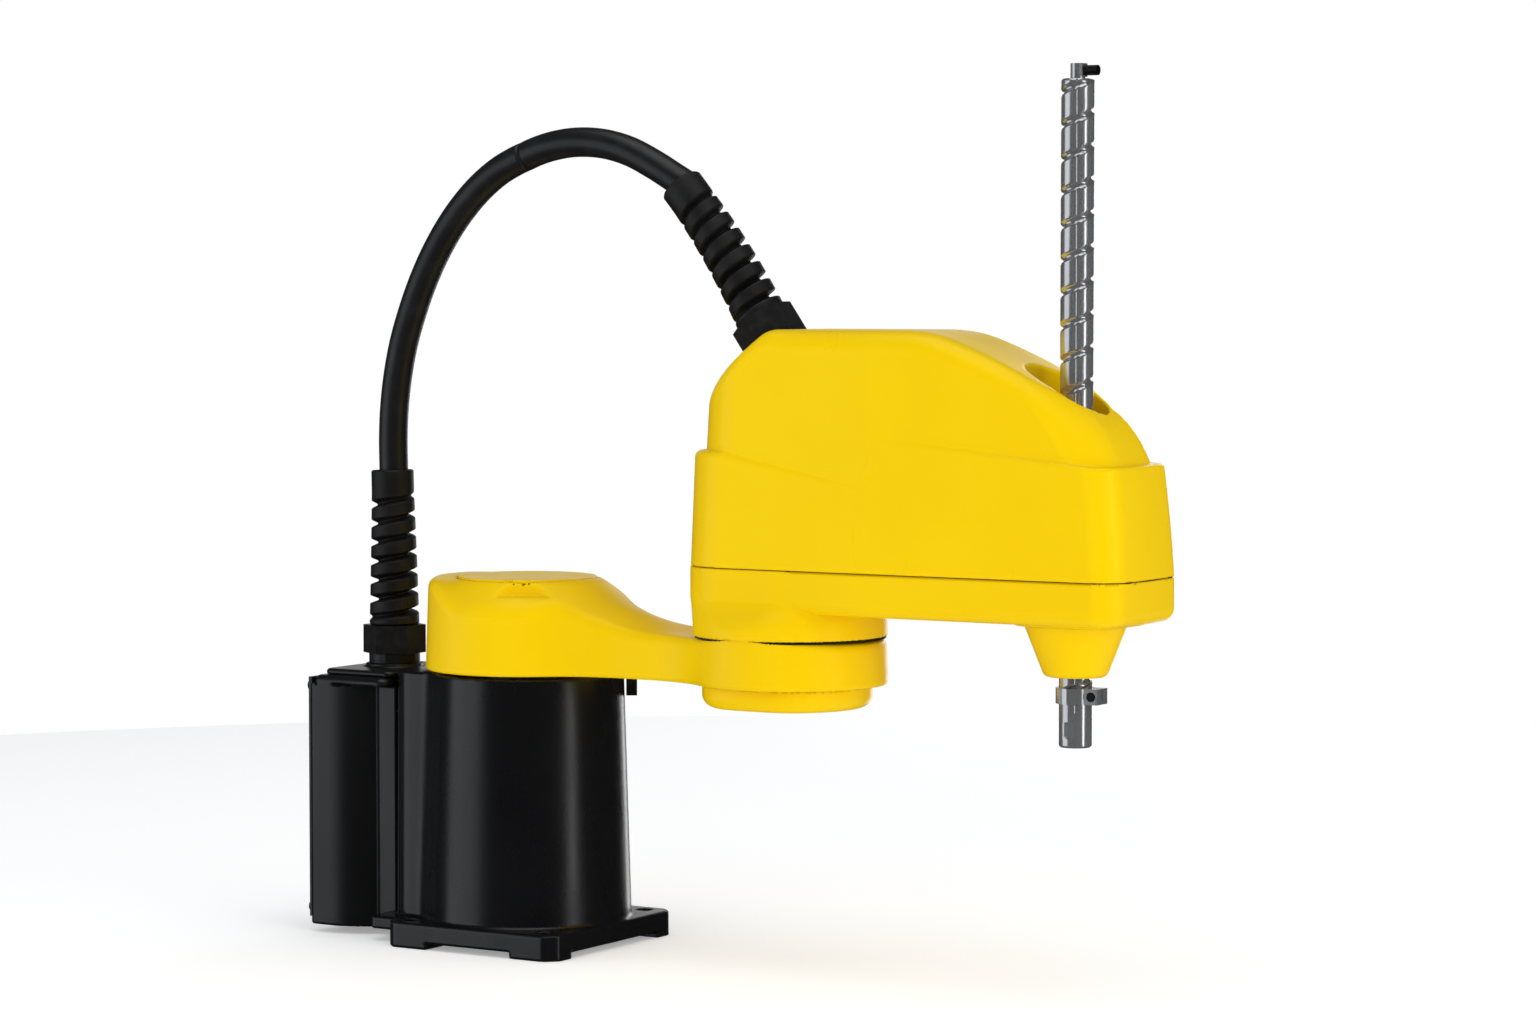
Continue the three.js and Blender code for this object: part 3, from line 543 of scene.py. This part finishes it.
def arm_2_plan(x, y, half, back, front, corner=FRONT_CORNER):
    side = np.abs(y) - half
    bowed = np.hypot(x - front + BOW, y) - BOW
    return meet(meet(side, back - x, REAR_CORNER), bowed, corner)


def band(x, y, z):
    """The cover's lower band, leaning in as it rises."""
    rise = z - COVER_LOW
    front = ARM_2_FRONT - 0.055 * rise - 0.0006 * rise ** 2
    outline = arm_2_plan(x, y, ARM_2_HALF - 0.028 * rise, ARM_2_BACK + 0.03 * rise, front)
    rear_top = SHOULDER_REAR + 1.5 - 0.198 * (x - 169)
    front_top = SHOULDER_FRONT - 0.5 + 0.1 * (433 - x)
    fore = smooth_step(x, 270, 290)
    rear_top = np.minimum(rear_top, SHOULDER_REAR)
    front_top = np.maximum(front_top, SHOULDER_FRONT - 0.5)
    top = rear_top * (1 - fore) + front_top * fore
    edge = 4.0 - 2.2 * smooth_step(x, 180, 300)
    return meet(outline, z - top, edge)


REAR_RISE = 0.78                 # slope of the rear facet that the gland stands on
REAR_FOOT = (154.5, 361)         # a point on that facet, in X and Z
FRONT_ARC = (193.5, 2.6, 415)    # centre in X and Z, and radius, of the arc that falls away to the front


def hood(x, y, z):
    """The narrower upper part, flush with the band amidships and set in from it at both ends."""
    rise = z - SHOULDER_FRONT
    flush = 1 - np.abs(x - 279) / 150
    half = 42.0 + 2.6 * np.clip(flush, 0, 1) - 0.03 * rise
    outline = arm_2_plan(x, y, half, JOINT_2_X - 52.5 + 0.045 * rise, ARM_2_FRONT - 6, 26)
    front_slope = np.hypot(x - FRONT_ARC[0], z - FRONT_ARC[1]) - FRONT_ARC[2]
    rear_slope = (z - REAR_FOOT[1] - REAR_RISE * (x - REAR_FOOT[0])) / math.hypot(1, REAR_RISE)
    crown = -soft_low(soft_low(-front_slope, COVER_TOP - z, 5), -rear_slope, 4)
    edge = 8 + 5 * smooth_step(x, 190, 230) + 19 * smooth_step(x, 385, 425)
    return meet(outline, crown, edge)


POCKET = {"back": 368.0, "front": 418.6, "half": 20.5, "floor": 341.0}
SHAFT_HOLE_R = 12.5


def spindle_pocket(x, y, z):
    outline = rounded(x, y, POCKET["back"], POCKET["front"], POCKET["half"], 20, 20)
    return meet(outline, POCKET["floor"] - z, 2.5)


GLAND_FOOT = np.array((193.2, 385.5))
GLAND_TILT = math.radians(35.4)


def along_gland(x, y, z):
    """(radius, height) of a point about the arm gland's leaning axis."""
    dx, dz = x - GLAND_FOOT[0], z - GLAND_FOOT[1]
    height = -math.sin(GLAND_TILT) * dx + math.cos(GLAND_TILT) * dz
    return np.hypot(math.cos(GLAND_TILT) * dx + math.sin(GLAND_TILT) * dz, y), height


def arm_2_cover(x, y, z):
    outside = join(band(x, y, z), hood(x, y, z), 0.8)
    pocket = spindle_pocket(x, y, z)
    inside = np.maximum(outside + COVER_WALL, -(pocket - COVER_WALL))
    shell = less(outside, inside)
    shell = less(shell, pocket, 1.6)
    shell = less(shell, np.hypot(x - SPINDLE_X, y) - SHAFT_HOLE_R, 0.5)
    radius, height = along_gland(x, y, z)
    shell = np.maximum(shell, -np.maximum(radius - 10.6, np.abs(height) - 30))
    shell = np.maximum(shell, -np.maximum(radius - 21.5, np.maximum(-height, height - 30)))
    return meet(shell, COVER_LOW - z, 0.3)


HUB_R = 60.6
NOSE_LOW = 192.0
SLAB_LOW = 225.0
TRAY_FLOOR = 236.0


def arm_2_casting(x, y, z):
    outline = arm_2_plan(x, y, ARM_2_HALF, ARM_2_BACK, ARM_2_FRONT)
    body = meet(outline, SLAB_LOW - z, 8)
    swell = (1 - smooth_step(z, HUB_LOW + 4, HUB_LOW + 26)) * (HUB_R - ARM_2_HALF)
    half = ARM_2_HALF + swell
    hub = rounded(x, y, ARM_2_BACK, JOINT_2_X + HUB_R, half, REAR_CORNER + 1.6 * swell, half)
    body = join(body, np.maximum(hub, z - CASTING_TOP) * 0.85, 1.2)
    pad = meet(rounded(x - SPINDLE_X, y, -32, 38, 33, 20, 20), 223.2 - z, 0.7)
    body = join(body, pad, 0.8)
    nose = drum(x, y, z, 18.9, NOSE_LOW, 230, SPINDLE_X, edge=2.5, cone=0.393)
    body = join(body, nose, 1.0)
    body = np.maximum(body, np.where(x < JOINT_2_X + HUB_R + 20, HUB_LOW - z, -50))
    body = meet(body, z - COVER_LOW + 0.4, 0.3)
    tray = np.maximum(arm_2_plan(x, y, ARM_2_HALF - 5, ARM_2_BACK + 5, ARM_2_FRONT - 5), TRAY_FLOOR - z)
    tray = np.maximum(tray, JOINT_2_X + 52 - x)
    tray = np.maximum(tray, -drum(x, y, z, 30, 200, 246, SPINDLE_X))
    holes = np.minimum(drum(x, y, z, 43, 213, 262, JOINT_2_X), drum(x, y, z, 36, 190, 262, JOINT_2_X))
    holes = np.minimum(holes, drum(x, y, z, 22.3, 226, 262, SPINDLE_X))
    holes = np.minimum(holes, drum(x, y, z, 17.0, 199, 262, SPINDLE_X))
    holes = np.minimum(holes, drum(x, y, z, 15.5, 180, 202, SPINDLE_X))
    return np.maximum(body, -np.minimum(tray, holes))


def cover_gasket(x, y, z):
    """A sheet ring pressed into the casting's wall, its top edge showing just in from the parting line."""
    low, high = COVER_LOW - 1.8, COVER_LOW
    outside = arm_2_plan(x, y, ARM_2_HALF - 0.9, ARM_2_BACK + 0.9, ARM_2_FRONT - 0.9)
    inside = arm_2_plan(x, y, ARM_2_HALF - 4.4, ARM_2_BACK + 4.4, ARM_2_FRONT - 4.4)
    return np.maximum(np.maximum(outside, -inside), np.maximum(low - z, z - high))


def nose_seal(x, y, z):
    """The wiper's face, recessed in the nose round the shaft."""
    ring = drum(x, y, z, 15.2, NOSE_LOW + 0.4, NOSE_LOW + 2.4, SPINDLE_X, edge=0.4)
    return less(ring, np.hypot(x - SPINDLE_X, y) - SHAFT_R - 0.3, 0.3)


def hinge_gap(x, y, z):
    """The dark dust lip between the two arms, under the hub of arm 2."""
    ring = np.hypot(x - JOINT_2_X, y) - HUB_R + 0.8
    return np.maximum(np.maximum(ring, -ring - 8), np.maximum(LINK_TOP + 0.25 - z, z - HUB_LOW - 0.3))


# ---- arm 1 ----
ARM_1_R = 66.2
DISC_R = 61.0
WAIST_HALF = 31.0
LINK_TOP = 206.7
CAP_R = 45.0
WALL_LEAN = 0.034
RAMP = curve_through([
    (0, 241), (30, 240.6), (42, 239.4), (51, 236), (58, 231), (66, 226), (77, 221.3), (97, 214.6),
    (113, 211), (128, 208.6), (143, 207.2), (160, LINK_TOP), (290, LINK_TOP),
])
RAMP_DROP = curve_through([
    (0, 22), (30, 19), (47, 18), (69, 19), (85, 21), (108, 14), (123, 7), (150, 0), (290, 0),
])


def waist_arc(r, x0, leave):
    """Radius and centre of the arc that leaves a circle of radius r at x0 and ends level with the waist."""
    s = math.sin(math.radians(leave))
    radius = (r * s - WAIST_HALF) / (1 - s)
    return radius, x0 + (r + radius) * math.cos(math.radians(leave)), WAIST_HALF + radius


def arm_1_plan(x, y, grow):
    """Two discs joined by a waist; grow moves the whole outline out."""
    h = np.abs(y)
    r1, c1, k1 = waist_arc(ARM_1_R, 0, 48)
    r2, c2, k2 = waist_arc(DISC_R, JOINT_2_X, 128)
    leave_1 = ARM_1_R * math.cos(math.radians(48))
    leave_2 = JOINT_2_X + DISC_R * math.cos(math.radians(128))
    first = np.hypot(x, h) - ARM_1_R
    second = np.hypot(x - JOINT_2_X, h) - DISC_R
    arc_1 = r1 - np.hypot(x - c1, np.minimum(h - k1, 0))
    arc_2 = r2 - np.hypot(x - c2, np.minimum(h - k2, 0))
    bridge = np.where(x < c1, arc_1, np.where(x > c2, arc_2, h - WAIST_HALF))
    middle = (x > leave_1) & (x < leave_2)
    return np.where(middle, bridge, np.where(x <= leave_1, first, second)) - grow


def arm_1_top(x, y, z):
    """Flat round the cap, a sloping facet outside it and a crowned ramp down to the second joint."""
    crest = ARM_1_TOP - 0.4
    steep = smooth_step(x, -52, -10)
    facet = crest - steep * (np.hypot(x, y) - CAP_R - 1)
    ramp = RAMP(x) - RAMP_DROP(x) * (y / 48) ** 2
    height = soft_low(-soft_low(-facet, -ramp, 8), crest, 3)
    return (z - height) / 1.2


def scoops(x, y, z):
    """Flat-floored bolt recesses cut into the facet, 60 degrees either side of the link."""
    angle = math.radians(60)
    return drum(x, np.abs(y), z, 25.0, 228.2, 260, 71.5 * math.cos(angle), 71.5 * math.sin(angle), edge=2.0)


def arm_1_casting(x, y, z):
    outline = arm_1_plan(x, y, -WALL_LEAN * (z - ARM_1_LOW))
    body = meet(outline, arm_1_top(x, y, z), 5)
    body = less(body, scoops(x, y, z), 1.5)
    body = meet(body, ARM_1_LOW - z, 2.0)
    under = np.maximum(arm_1_plan(x, y, -9), np.maximum(np.maximum(74 - x, x - 132), z - 198))
    holes = np.minimum(drum(x, y, z, CAP_R + 0.45, 235.5, 260), drum(x, y, z, 40, 196, 250))
    holes = np.minimum(holes, drum(x, y, z, 8, 150, 210))
    holes = np.minimum(holes, drum(x, y, z, 46, 150, 192, JOINT_2_X))
    holes = np.minimum(holes, drum(x, y, z, 8, 150, 215, JOINT_2_X))
    return np.maximum(body, -np.minimum(under, holes))


def arm_1_cap(x, y, z):
    body = drum(x, y, z, CAP_R, 235.8, ARM_1_TOP, edge=0.8)
    angle = math.radians(-71)
    notch = drum(x, y, z, 3.2, 230, 250, 46.5 * math.cos(angle), 46.5 * math.sin(angle))
    return less(body, notch, 0.3)


def lower_cover(x, y, z):
    low, high = low_of("arm_1_lower_cover")[2], high_of("arm_1_lower_cover")[2]
    cx = JOINT_2_X - 2.5
    low += 1.5
    skin = meet(np.hypot(x - cx, y) - 53.4, np.abs(y) - 49, 12)
    outside = np.maximum(meet(skin, low - z, 8), z - high)
    hollow = np.maximum(meet(skin + 4, low + 3 - z, 6), z - high - 9)
    return np.maximum(outside, -hollow)


# ---- base ----
DRUM_R = 67.7
DRUM_LEAN = 0.0302
NECK_HALF = 46.0
NECK_BACK = -82.0
NECK_CORNER = 20
EAR = {"back": -88, "front": -40, "half": 56.5, "low": 8, "notch": 34.3}
PLATE = {"back": -65.3, "front": 68.2, "half": 71.4, "top": 16.5, "chamfer": 7.7}
PAD = (34, 22, 4.0)              # length, width and height of a corner pad


def plate_outline(x, y):
    square = np.maximum(np.maximum(PLATE["back"] - x, x - PLATE["front"]), np.abs(y) - PLATE["half"])
    lean = 1 / math.sqrt(2)
    front = (x + np.abs(y) - PLATE["front"] - PLATE["half"] + PLATE["chamfer"]) * lean
    back = (np.abs(y) - x + PLATE["back"] - PLATE["half"] + PLATE["chamfer"]) * lean
    return meet(meet(square, front, 1.5), back, 1.5)


def base_casting(x, y, z):
    drum_wall = (np.hypot(x, y) - DRUM_R + DRUM_LEAN * (z - PAD[2])) / math.hypot(1, DRUM_LEAN)
    tower = meet(drum_wall, z - BASE_TOP, 1.5)
    neck_side = np.abs(y) - NECK_HALF + 0.01 * z
    neck = np.maximum(meet(neck_side, NECK_BACK - x, NECK_CORNER), x + 20)
    neck = meet(neck, z - BASE_TOP, 1.5)
    body = join(tower, neck, 7.0)
    outline = plate_outline(x, y)
    plate = meet(outline, z - PLATE["top"], 1.6)
    body = join(body, plate, 3.0)
    ear_plan = rounded(x, y, EAR["back"], EAR["front"], EAR["half"], 5, 5)
    ears = meet(ear_plan, np.maximum(EAR["low"] - z, z - PLATE["top"]), 1.6)
    ears = np.maximum(ears, np.minimum(EAR["notch"] - np.abs(y), NECK_BACK - x))
    body = join(body, ears, 1.0)
    open_x = np.minimum(x - PLATE["back"] - PAD[0], PLATE["front"] - PAD[0] - x)
    open_y = PLATE["half"] - PAD[1] - np.abs(y)
    channels = np.maximum(np.minimum(-open_x, -open_y), z - PAD[2])
    body = less(body, channels, 0.8)
    body = meet(body, -z, 0.8)
    holes = drum(x, y, z, 55, 24, 146)
    holes = np.minimum(holes, drum(x, y, z, 40, -9, 30))
    holes = np.minimum(holes, drum(x, y, z, 47.5, -9, PAD[2]))
    holes = np.minimum(holes, drum(x, y, z, 36, 140, 152))
    holes = np.minimum(holes, drum(x, y, z, 45.3, 150, 190))
    holes = np.minimum(holes, slab(x, y, z, -99, -45, -22, 22, 30, 150))
    bolts = np.hypot(np.abs(x) - 52, np.abs(y) - 58)
    body = np.maximum(body, -holes)
    return less(body, bolts - 4.5, 0.6)


HOUSING = {"back": -142.2, "front": -82.3, "half": 46.0, "low": 5.0, "shoulder": 165.0, "top": 170.5}
HOUSING_WALL = 3.0


def housing_plan(x, y, inset):
    """A half-round front and straight sides, as seen from above."""
    round_x = HOUSING["front"] - HOUSING["half"]
    half_round = np.hypot(np.maximum(x - round_x, 0), y) - HOUSING["half"]
    return np.maximum(half_round, HOUSING["back"] - x) + inset


def rear_housing(x, y, z):
    """The cable housing: a column with a half-round front under a square-cornered rim."""
    column = np.maximum(housing_plan(x, y, 0), z - HOUSING["shoulder"])
    column = meet(column, HOUSING["low"] - z, 1.5)
    throat = slab(x, y, z, -96.2, HOUSING["front"], -34, 34, HOUSING["low"], HOUSING["shoulder"])
    rim_plan = rounded(x, y, HOUSING["back"], HOUSING["front"], HOUSING["half"], 7, 7)
    rim = np.maximum(meet(rim_plan, z - HOUSING["top"], 4.5), HOUSING["shoulder"] - z)
    body = np.minimum(np.minimum(column, throat), rim)
    hollow = np.maximum(housing_plan(x, y, HOUSING_WALL), np.maximum(8 - z, z - HOUSING["shoulder"]))
    passage = slab(x, y, z, -110, -70, -30, 30, 30, 150)
    mouth = slab(x, y, z, HOUSING["back"] + 12, HOUSING["front"] - 7, -30, 30, 150, 190)
    window = slab(x, y, z, HOUSING["back"] - 20, HOUSING["back"] + 20, -34, 34, 25, 155)
    return np.maximum(body, -np.minimum(np.minimum(hollow, passage), np.minimum(mouth, window)))


LID_EDGE = 2.5
GLAND_X = -107.5


def rear_lid(x, y, z):
    """A raised plate with a round boss that the cable gland stands on."""
    low, high = low_of("rear_lid")[2], high_of("rear_lid")[2]
    plate = rounded(x, y, HOUSING["back"] + 5, HOUSING["front"], 39, 6, 6)
    body = meet(plate, z - low - 3.7, LID_EDGE)
    boss = meet(np.hypot(x - GLAND_X, y) - 19, z - high, 0.8)
    body = np.maximum(join(body, boss, 1.5), low - z)
    return np.maximum(body, 10.6 - np.hypot(x - GLAND_X, y))


def add_castings():
    pieces = [
        ("cover_shell", arm_2_cover, "yellow_cover", "arm_2", "arm_2_cover", 1.6),
        ("link_2_casting", arm_2_casting, "yellow_paint", "arm_2", "arm_2_casting", 1.7),
        ("link_1_casting", arm_1_casting, "yellow_paint", "arm_1", "arm_1_casting", 1.7),
        ("link_1_cap", arm_1_cap, "yellow_paint", "arm_1", "arm_1_cap", 1.0),
        ("link_1_lower_cover", lower_cover, "yellow_paint", "arm_1", "arm_1_lower_cover", 1.6),
        ("base_body", base_casting, "black_casting", "base", "base_casting", 2.0),
        ("housing_shell", rear_housing, SLOTS["rear_housing"], "base", "rear_housing", 2.0),
        ("housing_lid", rear_lid, SLOTS["rear_lid"], "base", "rear_lid", 1.3),
        ("parting_sheet", cover_gasket, "rubber", "arm_2", "cover_gasket", 0.8),
        ("wiper_seal", nose_seal, "rubber", "arm_2", "nose_seal", 0.8),
    ]
    for name, field, slot, body, node, step in pieces:
        low = [v - 2.3 * step - 2.5 for v in low_of(node)]
        high = [v + 2.3 * step + 2.5 for v in high_of(node)]
        dress(carve(name, field, low, high, step), slot, body, node)
    lip_low = [JOINT_2_X - HUB_R - 2, -HUB_R - 2, LINK_TOP - 1]
    lip_high = [JOINT_2_X + HUB_R + 2, HUB_R + 2, HUB_LOW + 2]
    dress(carve("hinge_dust_lip", hinge_gap, lip_low, lip_high, 0.8), "rubber", "arm_2")


# ---- spindle ----
LEAD = 20.0
GROOVE_WIDE = 4.2
GROOVE_R = 1.7
SPLINES = 3
SCREW_START = -0.65              # height at which the groove's phase is 0, at angle 0
FLAT_TURN = -88.0                # the way that the flat near the tip faces, in degrees


def add_spindle():
    """The ball-screw spline: a right-hand helical groove crossed by straight ball tracks."""
    z = np.arange(SHAFT_LOW, SHAFT_TOP + 0.01, 0.8)
    ends = [SHAFT_LOW + 0.4, SHAFT_LOW + 1.2, SHAFT_TOP - 1.2, SHAFT_TOP - 0.4, SHAFT_TOP]
    z = np.unique(np.concatenate([z, ends]))
    angle = np.linspace(0, 2 * math.pi, 120, endpoint=False)
    height, turn = np.meshgrid(z, angle, indexing="ij")
    phase = ((height - SCREW_START) / LEAD - turn / (2 * math.pi)) % 1
    off = np.abs(phase - 0.5) * LEAD
    groove = np.sqrt(np.clip(1 - (off / (GROOVE_WIDE / 2)) ** 2, 0, 1)) * GROOVE_R
    groove *= height > 176
    share = turn / (2 * math.pi) * SPLINES % 1 - 0.5
    spline_off = np.abs(share) / SPLINES * 2 * math.pi * SHAFT_R
    track = np.sqrt(np.clip(1 - (spline_off / 1.5) ** 2, 0, 1)) * 0.7 * (height > 170)
    end = np.minimum(height - SHAFT_LOW, SHAFT_TOP - height)
    radii = SHAFT_R - np.maximum(groove, track) - np.clip(1.0 - end, 0, 1.0)
    flat = (np.abs(height - 160) < 4.6)
    toward = np.cos(turn - math.radians(FLAT_TURN))
    flat_r = np.where(toward > 0.6, (SHAFT_R - 0.7) / np.maximum(toward, 0.6), 99)
    radii = np.where(flat, np.minimum(radii, flat_r), radii)
    piece = sweep("spindle_screw", np.stack([np.full(len(z), SPINDLE_X), z], 1), radii)
    return dress(piece, "steel", "spindle", "spindle_shaft")


# ---- carried-over CAD nodes ----
BEVELS = {
    "rear_panel": 1.0, "base_bottom_cover": 0.5, "base_gland_nut": 1.2, "arm_gland_nut": 1.2,
    "base_gland_body": 1.0, "arm_gland_body": 1.0, "stop_collar": 0.5, "shaft_top_stop": 0.4,
    "joint_1_stop_block": 0.8, "power_connector": 0.7, "encoder_connector": 0.7, "user_signal_connector": 0.8,
    "air_fittings": 0.5, "earth_screw": 0.5, "battery_box": 1.0,
}


def round_off(piece, width):
    bevel = piece.modifiers.new("rounded edges", "BEVEL")
    bevel.width = width * MM
    bevel.segments = 3
    bevel.limit_method = "ANGLE"
    bevel.angle_limit = math.radians(32)
    bevel.harden_normals = True


def finish_nodes():
    for name, node in frame["nodes"].items():
        node.data.materials.clear()
        node.data.materials.append(MATERIALS[SLOTS[name]])
        node.data.shade_smooth()
        round_off(node, BEVELS.get(name, 0.35))


# ---- studio ----
def area_light(name, place, target, size, power, colour=(1, 1, 1), tall=None, gloss=True):
    light = bpy.data.lights.new(name, "AREA")
    light.shape = "RECTANGLE"
    light.size = size
    light.size_y = tall or size
    light.energy = power
    light.color = colour
    made = bpy.data.objects.new(name, light)
    made.visible_glossy = gloss
    made.location = place
    made.rotation_euler = (Vector(target) - Vector(place)).to_track_quat("-Z", "Y").to_euler()
    bpy.context.scene.collection.objects.link(made)


def backdrop(tree, strength, colour):
    shade = tree.nodes.new("ShaderNodeBackground")
    shade.inputs["Color"].default_value = (*colour, 1)
    shade.inputs["Strength"].default_value = strength
    return shade.outputs[0]


def behind(tree, dark, bright):
    """A strength that is bright above the horizon on the white wall behind the object, and dark elsewhere."""
    look = tree.nodes.new("ShaderNodeTexCoord").outputs["Generated"]
    dot = tree.nodes.new("ShaderNodeVectorMath")
    dot.operation = "DOT_PRODUCT"
    tree.links.new(look, dot.inputs[0])
    dot.inputs[1].default_value = look_from(VIEW_AZIMUTH, VIEW_PITCH)
    span = tree.nodes.new("ShaderNodeMapRange")
    span.interpolation_type = "SMOOTHSTEP"
    tree.links.new(dot.outputs["Value"], span.inputs["Value"])
    for key, number in (("From Min", 0.84), ("From Max", 0.95), ("To Min", 0.0), ("To Max", bright - dark)):
        span.inputs[key].default_value = number
    height = tree.nodes.new("ShaderNodeSeparateXYZ")
    tree.links.new(look, height.inputs[0])
    above = tree.nodes.new("ShaderNodeMapRange")
    tree.links.new(height.outputs["Z"], above.inputs["Value"])
    for key, number in (("From Min", 0.02), ("From Max", 0.06), ("To Min", 0.0), ("To Max", 1.0)):
        above.inputs[key].default_value = number
    both = tree.nodes.new("ShaderNodeMath")
    both.operation = "MULTIPLY_ADD"
    tree.links.new(span.outputs["Result"], both.inputs[0])
    tree.links.new(above.outputs["Result"], both.inputs[1])
    both.inputs[2].default_value = dark
    return both.outputs["Value"]


def add_world():
    """White to the camera and soft to the surfaces; their gloss sees a white wall behind, dark elsewhere."""
    world = bpy.data.worlds.new("studio")
    bpy.context.scene.world = world
    world.use_nodes = True
    tree = world.node_tree
    tree.nodes.clear()
    path = tree.nodes.new("ShaderNodeLightPath")
    shade = backdrop(tree, 0.5, (0.97, 0.98, 1))
    for output, strength in (("Is Glossy Ray", 0.03), ("Is Camera Ray", 1.0)):
        mix = tree.nodes.new("ShaderNodeMixShader")
        seen = backdrop(tree, strength, (1, 1, 1))
        if output == "Is Glossy Ray":
            tree.links.new(behind(tree, strength, 0.7), seen.node.inputs["Strength"])
        tree.links.new(path.outputs[output], mix.inputs[0])
        tree.links.new(shade, mix.inputs[1])
        tree.links.new(seen, mix.inputs[2])
        shade = mix.outputs[0]
    out = tree.nodes.new("ShaderNodeOutputWorld")
    tree.links.new(shade, out.inputs["Surface"])


def add_floor():
    bpy.ops.mesh.primitive_circle_add(vertices=96, radius=1.5, fill_type="NGON", location=(0.15, 0, 0))
    floor = bpy.context.object
    floor.name = "floor"
    pale = bpy.data.materials.new("floor")
    pale.use_nodes = True
    shader = pale.node_tree.nodes["Principled BSDF"]
    shader.inputs["Base Color"].default_value = (0.9, 0.9, 0.9, 1)
    shader.inputs["Roughness"].default_value = 0.9
    shader.inputs["Specular IOR Level"].default_value = 0.1
    shader.inputs["Emission Color"].default_value = (1, 1, 1, 1)
    shader.inputs["Emission Strength"].default_value = 0.3
    floor.data.materials.append(pale)
    floor.visible_glossy = False


def round_about(azimuth, away, height):
    """A place that far from the base, where azimuth turns from +X towards +Y."""
    turn = math.radians(azimuth)
    return away * math.cos(turn), away * math.sin(turn), height


def add_studio():
    add_world()
    add_floor()
    middle = (0.15, 0, 0.28)
    area_light("left softbox", round_about(-134, 2.0, 0.3), (0, 0, 0.2), 1.7, 8.5, (0.93, 0.96, 1), tall=1.6)
    area_light("right strip", round_about(-5, 2.0, 0.3), (0, 0, 0.2), 0.3, 4, tall=1.6)
    area_light("right fill", (2.0, -0.6, 0.4), middle, 1.2, 9, gloss=False)
    area_light("rim strip", round_about(95, 2.0, 0.3), (0, 0, 0.2), 0.4, 6, tall=1.6)
    area_light("front fill", (0.5, -2.2, 0.7), middle, 1.6, 9, gloss=False)
    area_light("top softbox", (0.3, -0.3, 2.3), middle, 1.8, 14)
    bpy.context.scene.view_settings.view_transform = "Standard"


add_camera()
add_cables()
add_castings()
add_relief("base_spiral_relief", "base_strain_relief", "base", (-107.5, 202.4), (0, 1), (-108.6, 304.7))
add_relief("arm_spiral_relief", "arm_strain_relief", "arm_2", (178.3, 406.5), (-0.49, 0.872), (119.1, 489.8))
add_spindle()
finish_nodes()
add_studio()
